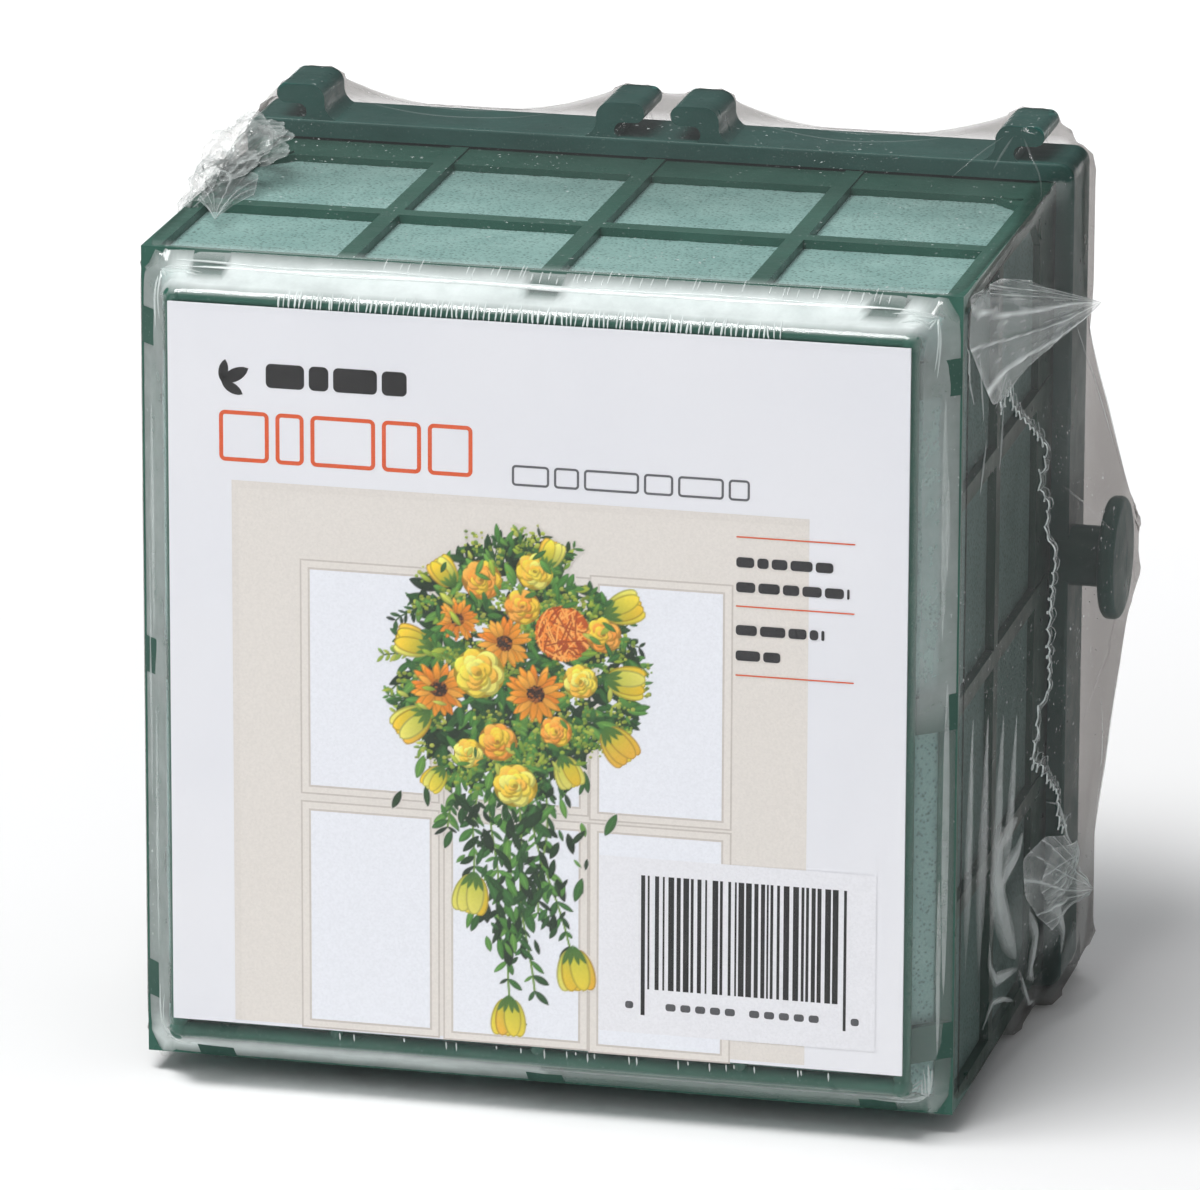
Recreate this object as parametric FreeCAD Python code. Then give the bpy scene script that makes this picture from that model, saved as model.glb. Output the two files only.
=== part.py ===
"""Caged floral foam brick: a block of wet floral foam held in a moulded open cage.

The cage clips into a shallow back tray with tie hooks along its top edge and a mushroom tie
button on each side. A printed card lies on the front grille, and a clear shrink film is
sealed tight around everything.

Millimetres. X is the width, +Y runs from the front (card) to the back (tray), +Z is up.
The origin is on the resting surface, in the middle of the footprint.
"""

import math
import os

import FreeCAD
import Part

# ---------------------------------------------------------------- overall sizes
DEPTH = 88.9            # front of the card to the back of the tray
CAGE_W = 121.0          # cage, outside, along X
CAGE_H = 122.6          # cage, outside, along Z
TRAY_OVERHANG = 2.9     # how far the tray rim stands out around the cage

# ---------------------------------------------------------------- shrink film
FILM_T = 0.15
FILM_AIR = 0.15         # room between the film and what it wraps
FILM_STAND = FILM_T + FILM_AIR
HOOK_TENT = 16.0        # how far out the film slopes down beside a hook
TENT_SHARE = 0.85       # share of the tray's height that a button's film slopes start from

# ---------------------------------------------------------------- card and front grille
CARD_T = 0.4
CARD_W = 109.0
CARD_H = 108.6
CARD_RAISE = 1.0        # the card's middle above the cage's mid-height
CARD_AIR = 0.05
ROD_R = 1.3             # round bars of the front grille's border
BALL_R = 1.6            # bosses at its four corners
GRID_R = 1.1            # bars inside the border
GRID_COLUMNS = 4
FRAME_INSET_X = 6.4     # border bar centre lines, in from the cage's sides
FRAME_INSET_Z = 5.7     # the same, from the cage's top and bottom

# ---------------------------------------------------------------- side panels of the cage
PANEL_SETBACK = 5.5     # border bars' centre plane to the panels' front edge
RIB_T = 1.3             # height of the ribs above the foam
LIP_T = 2.8             # height of the lip along a panel's front edge
LIP_W = 1.2
RIB_W = 2.7
EDGE_W = 2.6
CROSS_W = 3.0           # the rib across the middle of the depth
CROSS_BACK = 35.0       # its back edge, from the border bars' centre plane
PANEL_COLUMNS = 4
VISIBLE_DEPTH = 74.1    # border bars' centre plane to the tray rim's front face
BAND_W = 9.4            # rear band, as far as the tray rim
BAND_DROP = 0.3         # the band lies this much below the ribs
GUSSET = 4.6            # triangular plate in each rear corner of a window field
CLIP_R = 2.7            # half-round snap boss on each gusset
CLIP_H = 0.5

# ---------------------------------------------------------------- straps at the folds
STRAP_W = 5.4
STRAP_T = 1.3
STRAP_OFFSET = 49.7     # outer straps, from the middle of the edge

# ---------------------------------------------------------------- back tray
RIM_FIT = 0.15          # clearance between the cage and the rim
FLOOR_T = 2.0
TRAY_CORNER_R = 2.4
TRAY_EDGE_R = 0.5
SEAT_GAP = 0.1          # between the tray floor and the cage and foam

# ---------------------------------------------------------------- tie hooks on the tray's top edge
HOOK_W = 7.4
HOOK_H = 5.3
HOOK_SLOT_H = 2.3
HOOK_SLOT_D = 4.6
HOOK_TOP_R = 2.3
HOOK_ROOT_R = 2.6
HOOK_SINK = 0.2         # how far the curves at a hook's foot run on into the rim
HOOK_INSET = 0.2        # a hook's front, behind the rim's front face
HOOK_GAP = 4.0          # between the tips of the middle pair
HOOK_OUTER_TIP = 58.75  # tip of an outer hook, from the middle

# ---------------------------------------------------------------- tie buttons on the tray's sides
BUTTON_HEAD_R = 9.3
BUTTON_STEM_R = 4.6
BUTTON_REACH = 5.3      # rim side to the inside of the head
BUTTON_HEAD_T = 2.6
BUTTON_DOME = 0.5
BUTTON_EDGE_R = 1.0
BUTTON_ABOVE_MID = 3.3  # button axis above the cage's mid-height

# ---------------------------------------------------------------- foam
FOAM_AIR = 0.05
FOAM_CHAMFER = 4.2

# ---------------------------------------------------------------- places that follow
CARD_Y0 = -DEPTH / 2
CARD_Y1 = CARD_Y0 + CARD_T
ROD_Y = CARD_Y1 + CARD_AIR + BALL_R
PANEL_Y0 = ROD_Y + PANEL_SETBACK
RIM_Y0 = ROD_Y + VISIBLE_DEPTH
RIM_Y1 = DEPTH / 2
FLOOR_Y0 = RIM_Y1 - FLOOR_T
SEAT_Y = FLOOR_Y0 - SEAT_GAP
HALF_W = CAGE_W / 2
HALF_H = CAGE_H / 2
RIM_HALF_W = HALF_W + TRAY_OVERHANG
RIM_HALF_H = HALF_H + TRAY_OVERHANG
MID_Z = FILM_STAND + RIM_HALF_H
RIM_TOP = MID_Z + RIM_HALF_H
HOOK_TOP = RIM_TOP + HOOK_H
BUTTON_Y = RIM_Y1 - BUTTON_HEAD_R - FILM_AIR / 2
BUTTON_Z = MID_Z + BUTTON_ABOVE_MID
BUTTON_END = RIM_HALF_W + BUTTON_REACH + BUTTON_HEAD_T + BUTTON_DOME

X_AXIS = FreeCAD.Vector(1, 0, 0)
Y_AXIS = FreeCAD.Vector(0, 1, 0)


def vec(x, y, z):
    return FreeCAD.Vector(x, y, z)


def box(x0, x1, y0, y1, z0, z1):
    return Part.makeBox(x1 - x0, y1 - y0, z1 - z0, vec(x0, y0, z0))


def prism_along_y(points, y0, y1):
    """A solid whose section in X and Z is the closed polygon of points."""
    corners = [vec(x, y0, z) for x, z in points]
    wire = Part.makePolygon(corners + corners[:1])
    return Part.Face(wire).extrude(vec(0, y1 - y0, 0))


def prism_along_x(points, x0, x1):
    """A solid whose section in Y and Z is the closed polygon of points."""
    corners = [vec(x0, y, z) for y, z in points]
    wire = Part.makePolygon(corners + corners[:1])
    return Part.Face(wire).extrude(vec(x1 - x0, 0, 0))


def fuse(shapes):
    return shapes[0].fuse(shapes[1:]).removeSplitter()


def spaced(width, count):
    """The count - 1 lines that split a width, centred on 0, into equal columns."""
    return [width * (i / count - 0.5) for i in range(1, count)]


# ---------------------------------------------------------------- cage: side panels
def side_panel(width, reach):
    """One ribbed side of the cage, facing +Z at the given reach from the cage's axis.

    Its long edges are mitred at 45 degrees, so that four of them close around the foam.
    """
    half = width / 2
    mitre = prism_along_y(
        [(-half, reach), (half, reach), (half - LIP_T, reach - LIP_T), (-half + LIP_T, reach - LIP_T)],
        PANEL_Y0,
        SEAT_Y,
    )
    low = reach - RIB_T
    band_y = RIM_Y0 - BAND_W
    bars = [box(-half, half, PANEL_Y0, PANEL_Y0 + LIP_W, reach - LIP_T, reach)]
    for side in (-half, half - EDGE_W):
        bars.append(box(side, side + EDGE_W, PANEL_Y0, RIM_Y0, low, reach))
    for u in spaced(width, PANEL_COLUMNS):
        bars.append(box(u - RIB_W / 2, u + RIB_W / 2, PANEL_Y0, RIM_Y0, low, reach))
    cross_y = ROD_Y + CROSS_BACK
    bars.append(box(-half, half, cross_y - CROSS_W, cross_y, low, reach))
    bars.append(box(-half, half, band_y, SEAT_Y, low, reach - BAND_DROP))
    for sign in (-1, 1):
        bars.append(corner_gusset(sign, half, reach, band_y))
    return fuse(bars).common(mitre)


def corner_gusset(sign, half, reach, band_y):
    """The triangular plate and half-round snap boss in a rear corner of a panel."""
    inner = half - EDGE_W
    corners = [
        vec(sign * inner, band_y, reach - RIB_T),
        vec(sign * (inner - GUSSET), band_y, reach - RIB_T),
        vec(sign * inner, band_y - GUSSET, reach - RIB_T),
    ]
    plate = Part.Face(Part.makePolygon(corners + corners[:1])).extrude(vec(0, 0, RIB_T - BAND_DROP))
    centre = vec(sign * (inner - CLIP_R / 2), band_y + CLIP_R / 2, reach - RIB_T)
    boss = Part.makeCylinder(CLIP_R, RIB_T - BAND_DROP + CLIP_H, centre)
    flat_side = box(-half, half, band_y + CLIP_R / 2, band_y + 2 * CLIP_R, reach - LIP_T, reach + 2 * CLIP_H)
    return plate.fuse(boss.cut(flat_side))


def turned(shape, quarter_turns):
    """A panel or strap turned about the cage's axis and moved to its height."""
    moved = shape.copy()
    moved.rotate(vec(0, 0, 0), Y_AXIS, 90 * quarter_turns)
    moved.translate(vec(0, 0, MID_Z))
    return moved


# ---------------------------------------------------------------- cage: front grille
def front_grille():
    """Round border bars with corner bosses, and the bars of the grid inside them."""
    x = HALF_W - FRAME_INSET_X
    z = HALF_H - FRAME_INSET_Z
    bars = []
    for side in (-1, 1):
        bars.append(Part.makeCylinder(ROD_R, 2 * x, vec(-x, ROD_Y, MID_Z + side * z), X_AXIS))
        bars.append(Part.makeCylinder(ROD_R, 2 * z, vec(side * x, ROD_Y, MID_Z - z)))
        for end in (-1, 1):
            bars.append(Part.makeSphere(BALL_R, vec(side * x, ROD_Y, MID_Z + end * z)))
    for u in spaced(CAGE_W, GRID_COLUMNS):
        bars.append(Part.makeCylinder(GRID_R, 2 * z, vec(u, ROD_Y, MID_Z - z)))
    for w in spaced(CAGE_H, GRID_COLUMNS):
        bars.append(Part.makeCylinder(GRID_R, 2 * x, vec(-x, ROD_Y, MID_Z + w), X_AXIS))
    return fuse(bars)


# ---------------------------------------------------------------- cage: straps at the folds
def fold_straps(reach, inset):
    """Three flexible straps from a border bar to the front edge of the panel facing +Z."""
    rod = (ROD_Y, reach - inset)
    edge = (PANEL_Y0, reach)
    run = math.hypot(edge[0] - rod[0], edge[1] - rod[1])
    along = ((edge[0] - rod[0]) / run, (edge[1] - rod[1]) / run)
    inward = (along[1], -along[0])
    section = [
        rod,
        edge,
        (edge[0], edge[1] - STRAP_T / along[0]),
        (rod[0] + inward[0] * STRAP_T, rod[1] + inward[1] * STRAP_T),
    ]
    bar = Part.makeCylinder(ROD_R, CAGE_W, vec(-HALF_W, rod[0], rod[1]), X_AXIS)
    straps = []
    for u in (-STRAP_OFFSET, 0, STRAP_OFFSET):
        straps.append(prism_along_x(section, u - STRAP_W / 2, u + STRAP_W / 2).cut(bar))
    return straps


def hinge_straps():
    straps = []
    for turns in range(4):
        reach, inset = ((HALF_H, FRAME_INSET_Z), (HALF_W, FRAME_INSET_X))[turns % 2]
        straps += [turned(strap, turns) for strap in fold_straps(reach, inset)]
    return Part.makeCompound(straps)


# ---------------------------------------------------------------- foam and card
def foam_brick():
    """The foam block, dented along its front edges where the panels' lips press on it."""
    w = HALF_W - RIB_T - FOAM_AIR
    h = HALF_H - RIB_T - FOAM_AIR
    dent = LIP_T - RIB_T
    y0 = ROD_Y + BALL_R + FOAM_AIR
    y1 = PANEL_Y0 + LIP_W + FOAM_AIR
    front = box(dent - w, w - dent, y0, y1, MID_Z - h + dent, MID_Z + h - dent)
    front_edges = [edge for edge in front.Edges if edge.BoundBox.YMax < y0 + FOAM_AIR]
    front = front.makeChamfer(FOAM_CHAMFER, front_edges)
    body = box(-w, w, y1, SEAT_Y, MID_Z - h, MID_Z + h)
    return fuse([front, body])


def label_card():
    """The printed card, flat on the front grille."""
    half = CARD_W / 2
    low = MID_Z + CARD_RAISE - CARD_H / 2
    return box(-half, half, CARD_Y0, CARD_Y1, low, low + CARD_H)


# ---------------------------------------------------------------- back tray
def tray_shell():
    """A shallow rectangular tray, open to the front, that the cage's rear end sits in."""
    outer = box(-RIM_HALF_W, RIM_HALF_W, RIM_Y0, RIM_Y1, MID_Z - RIM_HALF_H, MID_Z + RIM_HALF_H)
    along_y = [edge for edge in outer.Edges if edge.BoundBox.YLength > FLOOR_T]
    outer = outer.makeFillet(TRAY_CORNER_R, along_y)
    rims = [edge for edge in outer.Edges if edge.BoundBox.YLength < TRAY_EDGE_R]
    outer = outer.makeFillet(TRAY_EDGE_R, rims)
    w = HALF_W + RIM_FIT
    h = HALF_H + RIM_FIT
    return outer.cut(box(-w, w, RIM_Y0 - FLOOR_T, FLOOR_Y0, MID_Z - h, MID_Z + h))


def tie_hook(tip_x, sign):
    """A curled hook across the rim's depth, with its tip at tip_x, pointing along sign."""
    root = TRAY_OVERHANG / 2
    slot_r = (HOOK_SLOT_H + HOOK_SINK) / 2
    slot_x = -HOOK_SLOT_D + slot_r
    tip_r = (HOOK_H - HOOK_SLOT_H) / 2
    k = math.sqrt(0.5)

    def at(x, z):
        return vec(tip_x + sign * x, RIM_Y0 + HOOK_INSET, RIM_TOP + z)

    def line(a, b):
        return Part.LineSegment(at(*a), at(*b)).toShape()

    def arc(a, middle, b):
        return Part.Arc(at(*a), at(*middle), at(*b)).toShape()

    back = -HOOK_W
    edges = [
        line((back - HOOK_ROOT_R, -root), (back - HOOK_ROOT_R, -HOOK_SINK)),
        arc(
            (back - HOOK_ROOT_R, -HOOK_SINK),
            (back - HOOK_ROOT_R * (1 - k), HOOK_ROOT_R * (1 - k) - HOOK_SINK),
            (back, HOOK_ROOT_R - HOOK_SINK),
        ),
        line((back, HOOK_ROOT_R - HOOK_SINK), (back, HOOK_H - HOOK_TOP_R)),
        arc(
            (back, HOOK_H - HOOK_TOP_R),
            (back + HOOK_TOP_R * (1 - k), HOOK_H - HOOK_TOP_R * (1 - k)),
            (back + HOOK_TOP_R, HOOK_H),
        ),
        line((back + HOOK_TOP_R, HOOK_H), (-tip_r, HOOK_H)),
        arc((-tip_r, HOOK_H), (0, HOOK_H - tip_r), (-tip_r, HOOK_SLOT_H)),
        line((-tip_r, HOOK_SLOT_H), (slot_x, HOOK_SLOT_H)),
        arc((slot_x, HOOK_SLOT_H), (slot_x - slot_r, HOOK_SLOT_H - slot_r), (slot_x, -HOOK_SINK)),
        line((slot_x, -HOOK_SINK), (slot_x, -root)),
        line((slot_x, -root), (back - HOOK_ROOT_R, -root)),
    ]
    face = Part.Face(Part.Wire(edges))
    return face.extrude(vec(0, RIM_Y1 - TRAY_EDGE_R - RIM_Y0 - 2 * HOOK_INSET, 0))


def tie_button(sign):
    """A mushroom button on the side of the rim: a stem and a wide, slightly domed head."""
    start = RIM_HALF_W - TRAY_OVERHANG / 2
    inside = RIM_HALF_W + BUTTON_REACH
    face = inside + BUTTON_HEAD_T

    def at(x, r):
        return vec(sign * x, BUTTON_Y, BUTTON_Z + r)

    bend = BUTTON_EDGE_R * (1 - math.sqrt(0.5))
    rim_r = BUTTON_HEAD_R - BUTTON_EDGE_R
    dome_r = (rim_r**2 + BUTTON_DOME**2) / (2 * BUTTON_DOME)
    dome_half = math.sqrt(dome_r**2 - rim_r**2 / 4) - dome_r + BUTTON_DOME
    edges = [
        Part.LineSegment(at(start, 0), at(start, BUTTON_STEM_R)).toShape(),
        Part.LineSegment(at(start, BUTTON_STEM_R), at(inside, BUTTON_STEM_R)).toShape(),
        Part.LineSegment(at(inside, BUTTON_STEM_R), at(inside, rim_r)).toShape(),
        Part.Arc(
            at(inside, rim_r),
            at(inside + bend, BUTTON_HEAD_R - bend),
            at(inside + BUTTON_EDGE_R, BUTTON_HEAD_R),
        ).toShape(),
        Part.LineSegment(
            at(inside + BUTTON_EDGE_R, BUTTON_HEAD_R), at(face - BUTTON_EDGE_R, BUTTON_HEAD_R)
        ).toShape(),
        Part.Arc(
            at(face - BUTTON_EDGE_R, BUTTON_HEAD_R),
            at(face - bend, BUTTON_HEAD_R - bend),
            at(face, rim_r),
        ).toShape(),
        Part.Arc(at(face, rim_r), at(face + dome_half, rim_r / 2), at(face + BUTTON_DOME, 0)).toShape(),
        Part.LineSegment(at(face + BUTTON_DOME, 0), at(start, 0)).toShape(),
    ]
    profile = Part.Face(Part.Wire(edges))
    return profile.revolve(vec(0, BUTTON_Y, BUTTON_Z), X_AXIS, 360)


def base_tray():
    """The tray with its four hooks and two buttons, all one moulding."""
    hooks = []
    for sign in (-1, 1):
        hooks.append(tie_hook(sign * HOOK_GAP / 2, -sign))
        hooks.append(tie_hook(sign * HOOK_OUTER_TIP, sign))
    buttons = [tie_button(-1), tie_button(1)]
    return fuse([tray_shell()] + hooks + buttons)


# ---------------------------------------------------------------- shrink film
def rectangle_y(y, half_w, half_h):
    """A rectangle across Y, centred on the cage's axis."""
    corners = [(-half_w, -half_h), (half_w, -half_h), (half_w, half_h), (-half_w, half_h)]
    points = [vec(x, y, MID_Z + z) for x, z in corners]
    return Part.makePolygon(points + points[:1])


def rectangle_z(z, x0, x1, y0, y1):
    points = [vec(x0, y0, z), vec(x1, y0, z), vec(x1, y1, z), vec(x0, y1, z)]
    return Part.makePolygon(points + points[:1])


def rectangle_x(x, y0, y1, z0, z1):
    points = [vec(x, y0, z0), vec(x, y1, z0), vec(x, y1, z1), vec(x, y0, z1)]
    return Part.makePolygon(points + points[:1])


def film_envelope(margin):
    """What the film encloses, standing off the holder by the margin.

    It is drawn tight from the front border to the panels' front edges, from there to the tray
    rim, up over the hooks and out over the buttons.
    """
    frame_w = HALF_W - FRAME_INSET_X + BALL_R
    frame_h = HALF_H - FRAME_INSET_Z + BALL_R
    body = Part.makeLoft(
        [
            rectangle_y(CARD_Y0 - margin, frame_w + margin, frame_h + margin),
            rectangle_y(PANEL_Y0 - margin, HALF_W + margin, HALF_H + margin),
            rectangle_y(RIM_Y0 - margin, RIM_HALF_W + margin, RIM_HALF_H + margin),
            rectangle_y(RIM_Y1 + margin, RIM_HALF_W + margin, RIM_HALF_H + margin),
        ],
        True,
        True,
    )
    middle = HOOK_GAP / 2 + HOOK_W
    tip_slope = HALF_W - HOOK_OUTER_TIP
    tents = [
        hook_tent(-middle, middle, HOOK_TENT, HOOK_TENT, margin),
        hook_tent(HOOK_OUTER_TIP - HOOK_W, HOOK_OUTER_TIP, HOOK_TENT, tip_slope, margin),
        hook_tent(-HOOK_OUTER_TIP, HOOK_W - HOOK_OUTER_TIP, tip_slope, HOOK_TENT, margin),
        button_tent(-1, margin),
        button_tent(1, margin),
    ]
    return body.fuse(tents)


def hook_tent(x0, x1, left_slope, right_slope, margin):
    """The film's rise over one or two hooks, sloping down over those widths to each side."""
    front = (RIM_Y0 + PANEL_Y0) / 2
    back = RIM_Y1 + margin
    left = x0 - margin
    right = x1 + margin
    foot_z = RIM_TOP - TRAY_OVERHANG + margin
    low = rectangle_z(foot_z, left - left_slope, right + right_slope, front, back)
    high = rectangle_z(HOOK_TOP + margin, left, right, RIM_Y0 - margin, back)
    return Part.makeLoft([low, high], True, True)


def button_tent(sign, margin):
    """The film's slopes from the side of the holder out to a button's head."""
    spread_z = RIM_HALF_H * TENT_SHARE
    head = BUTTON_HEAD_R + margin
    back = RIM_Y1 + margin
    low = rectangle_x(sign * (HALF_W - FILM_STAND + margin), PANEL_Y0, back, MID_Z - spread_z, MID_Z + spread_z)
    high = rectangle_x(
        sign * (BUTTON_END + margin), BUTTON_Y - head, back, BUTTON_Z - head, BUTTON_Z + head
    )
    return Part.makeLoft([low, high], True, True)


def film_wrap():
    return film_envelope(FILM_STAND).cut(film_envelope(FILM_AIR))


# ---------------------------------------------------------------- write every piece
def save(name, shape):
    for solid in shape.Solids:
        if not solid.isValid():
            raise ValueError(name + " holds a bad solid")
    shape.exportStep("parts/" + name + ".step")
    print(name, len(shape.Solids), "solids", round(shape.Volume), "mm3")


os.makedirs("parts", exist_ok=True)
save("base_tray", base_tray())
save("front_grille", front_grille())
save("top_panel", turned(side_panel(CAGE_W, HALF_H), 0))
save("right_panel", turned(side_panel(CAGE_H, HALF_W), 1))
save("bottom_panel", turned(side_panel(CAGE_W, HALF_H), 2))
save("left_panel", turned(side_panel(CAGE_H, HALF_W), 3))
save("hinge_straps", hinge_straps())
save("foam_brick", foam_brick())
save("label_card", label_card())
save("film_wrap", film_wrap())
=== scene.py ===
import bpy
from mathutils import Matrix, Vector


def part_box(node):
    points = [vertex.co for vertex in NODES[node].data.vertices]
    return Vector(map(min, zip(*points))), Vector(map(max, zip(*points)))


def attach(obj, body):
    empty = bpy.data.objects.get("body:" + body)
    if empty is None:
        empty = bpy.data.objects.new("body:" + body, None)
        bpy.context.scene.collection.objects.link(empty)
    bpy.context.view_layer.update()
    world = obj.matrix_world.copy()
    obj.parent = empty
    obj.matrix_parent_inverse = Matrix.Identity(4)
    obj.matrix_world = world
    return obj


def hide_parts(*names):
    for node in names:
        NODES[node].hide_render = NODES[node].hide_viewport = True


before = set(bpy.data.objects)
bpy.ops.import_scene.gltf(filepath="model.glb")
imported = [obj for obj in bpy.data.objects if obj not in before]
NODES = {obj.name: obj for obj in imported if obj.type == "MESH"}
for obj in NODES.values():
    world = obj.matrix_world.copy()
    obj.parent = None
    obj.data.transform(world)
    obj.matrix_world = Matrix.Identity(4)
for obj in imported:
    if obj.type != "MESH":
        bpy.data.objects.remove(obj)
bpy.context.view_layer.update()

"""Looks of the caged floral foam holder: foam, plastic, printed card and sealed shrink film.

Metres, in the CAD frame: X is the width, +Y runs from the card to the tray, +Z is up.
"""
import math

import bpy
import numpy as np
from mathutils import Matrix, Vector, noise
from mathutils.bvhtree import BVHTree

MM = 0.001

# ---------------------------------------------------------------- places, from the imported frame
card_low, card_high = (np.array(corner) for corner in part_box("label_card"))
grille_low, grille_high = (np.array(corner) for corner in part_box("front_grille"))
foam_low, foam_high = (np.array(corner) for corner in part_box("foam_brick"))
top_low, top_high = (np.array(corner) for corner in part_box("top_panel"))
tray_high = np.array(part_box("base_tray")[1])

CAGE_HALF_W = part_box("right_panel")[1][0]
CAGE_TOP = top_high[2]
CAGE_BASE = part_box("bottom_panel")[0][2]
MID_Z = (CAGE_TOP + CAGE_BASE) / 2
CAGE_FRONT = top_low[1]
BACK_Y = tray_high[1]

# what the frame's boxes don't tell about the tray and the straps, as in the part's own drawing
RIM_OVERHANG = 2.9 * MM
RIM_DEPTH = 12.75 * MM
RIM_CORNER_R = 2.4 * MM
HOOK_W = 7.4 * MM
HOOK_GAP = 4.0 * MM
HOOK_OUTER_TIP = 58.75 * MM
BUTTON_R = 9.3 * MM
BUTTON_ABOVE_MID = 3.3 * MM
STRAP_OFFSET = 49.7 * MM

RIM_HALF_W = CAGE_HALF_W + RIM_OVERHANG
RIM_TOP = CAGE_TOP + RIM_OVERHANG
RIM_BASE = CAGE_BASE - RIM_OVERHANG
RIM_FRONT = BACK_Y - RIM_DEPTH
HOOK_TOP = tray_high[2]
BUTTON_Y = BACK_Y - BUTTON_R
BUTTON_Z = MID_Z + BUTTON_ABOVE_MID
BUTTON_END = tray_high[0]
HOOK_MIDS = [(HOOK_GAP + HOOK_W) / 2, HOOK_OUTER_TIP - HOOK_W / 2]

rng = np.random.default_rng(7)


# ---------------------------------------------------------------- mesh helpers
def add_object(name, data):
    made = bpy.data.objects.new(name, data)
    bpy.context.scene.collection.objects.link(made)
    return made


def add_mesh(name, points, faces, material, smooth=True):
    """A new object from points and faces, riding on the one body."""
    mesh = bpy.data.meshes.new(name)
    mesh.from_pydata(np.asarray(points).tolist(), [], [list(map(int, f)) for f in faces])
    mesh.polygons.foreach_set("use_smooth", [smooth] * len(mesh.polygons))
    mesh.materials.append(material)
    mesh.validate()
    piece = add_object(name, mesh)
    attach(piece, "root")
    return piece


def paint(piece, name, values):
    """A number for each vertex, which the piece's material reads."""
    attribute = piece.data.attributes.new(name, "FLOAT", "POINT")
    attribute.data.foreach_set("value", np.asarray(values, np.float32))


def paint_colour(piece, name, colours):
    """A linear colour for each vertex."""
    rgba = np.ones((len(colours), 4), np.float32)
    rgba[:, :3] = colours
    attribute = piece.data.color_attributes.new(name, "FLOAT_COLOR", "POINT")
    attribute.data.foreach_set("color", rgba.ravel())


def grid_faces(rows, columns):
    """Quads of a grid of points numbered row by row."""
    i, j = np.meshgrid(np.arange(rows - 1), np.arange(columns - 1), indexing="ij")
    a = (i * columns + j).ravel()
    return np.stack([a, a + 1, a + columns + 1, a + columns], 1)


def box_lattice(counts):
    """The points of a box's surface on a lattice of counts cells, and its outward quads."""
    a, b, c = counts
    index = -np.ones((a + 1, b + 1, c + 1), int)
    i, j, k = np.indices(index.shape)
    skin = (i == 0) | (i == a) | (j == 0) | (j == b) | (k == 0) | (k == c)
    index[skin] = np.arange(skin.sum())
    sheets = [
        (index[:, :, 0], True), (index[:, :, c], False), (index[:, 0, :], False),
        (index[:, b, :], True), (index[0, :, :], True), (index[a, :, :], False),
    ]
    quads = []
    for sheet, flip in sheets:
        q = np.stack([sheet[:-1, :-1], sheet[1:, :-1], sheet[1:, 1:], sheet[:-1, 1:]], -1).reshape(-1, 4)
        quads.append(q[:, ::-1] if flip else q)
    return np.argwhere(skin), np.concatenate(quads)


class Gathered:
    """Gathers pieces of mesh into one, with a value at each point."""

    def __init__(self):
        self.points, self.faces, self.values = [], [], []
        self.count = 0

    def take(self, points, faces, values):
        self.points.append(points)
        self.faces += [[self.count + corner for corner in face] for face in faces]
        self.values.append(values)
        self.count += len(points)

    def mesh(self, name, material, smooth=True):
        return add_mesh(name, np.concatenate(self.points), self.faces, material, smooth)


def smoothstep(low, high, x):
    t = np.clip((x - low) / (high - low), 0, 1)
    return t * t * (3 - 2 * t)


def unit(vectors, least=1e-12):
    """Each vector at length 1, save those shorter than the least length."""
    return vectors / np.maximum(np.linalg.norm(vectors, axis=-1, keepdims=True), least)


def wavy(points, scale, seed):
    """Smooth noise from -1 to 1 at each point; scale is its lumps' size, in the points' own unit."""
    shift = Vector((seed * 3.17, seed * 1.31, seed * 7.7))
    return np.array([noise.noise(Vector(p) / scale + shift) for p in points])


# ---------------------------------------------------------------- materials
def node_material(name):
    material = bpy.data.materials.new(name)
    material.use_nodes = True
    tree = material.node_tree
    return material, tree, tree.nodes["Principled BSDF"]


def put(tree, socket, value):
    """Links an output to a socket, or sets the socket to a number or colour."""
    if isinstance(value, bpy.types.NodeSocket):
        tree.links.new(value, socket)
    elif socket.type == "RGBA":
        socket.default_value = (*value[:3], 1)
    else:
        socket.default_value = value


def fill(tree, node, **sockets):
    """Puts a value or an output into each named input; an underscore stands for a space."""
    for key, value in sockets.items():
        put(tree, node.inputs[key.replace("_", " ")], value)
    return node


def add(tree, kind, **sockets):
    return fill(tree, tree.nodes.new(kind), **sockets)


def math_node(tree, operation, *values, clamp=False):
    node = tree.nodes.new("ShaderNodeMath")
    node.operation = operation
    node.use_clamp = clamp
    for socket, value in zip(node.inputs, values):
        put(tree, socket, value)
    return node.outputs["Value"]


def painted(tree, name, output="Fac"):
    """What paint or paint_colour wrote on the mesh under this name."""
    node = tree.nodes.new("ShaderNodeAttribute")
    node.attribute_name = name
    return node.outputs[output]


def object_place(tree):
    return tree.nodes.new("ShaderNodeTexCoord").outputs["Object"]


def colour_ramp(tree, factor, stops):
    """A ramp through the stops; a stop's colour may be one number, for a grey."""
    node = add(tree, "ShaderNodeValToRGB", Fac=factor)
    elements = node.color_ramp.elements
    while len(elements) < len(stops):
        elements.new(0.5)
    for element, (place, colour) in zip(elements, stops):
        element.position = place
        element.color = (*np.broadcast_to(colour, 3), 1)
    return node.outputs["Color"]


def remap(tree, value, **ends):
    return add(tree, "ShaderNodeMapRange", Value=value, **ends).outputs["Result"]


def noise_texture(tree, place, scale, detail=2.0, rough=0.5):
    sizes = {"Scale": scale, "Detail": detail, "Roughness": rough}
    return add(tree, "ShaderNodeTexNoise", Vector=place, **sizes).outputs["Fac"]


def bump(tree, height, strength, distance, **normal):
    sizes = {"Strength": strength, "Distance": distance}
    return add(tree, "ShaderNodeBump", Height=height, **sizes, **normal).outputs["Normal"]


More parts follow.
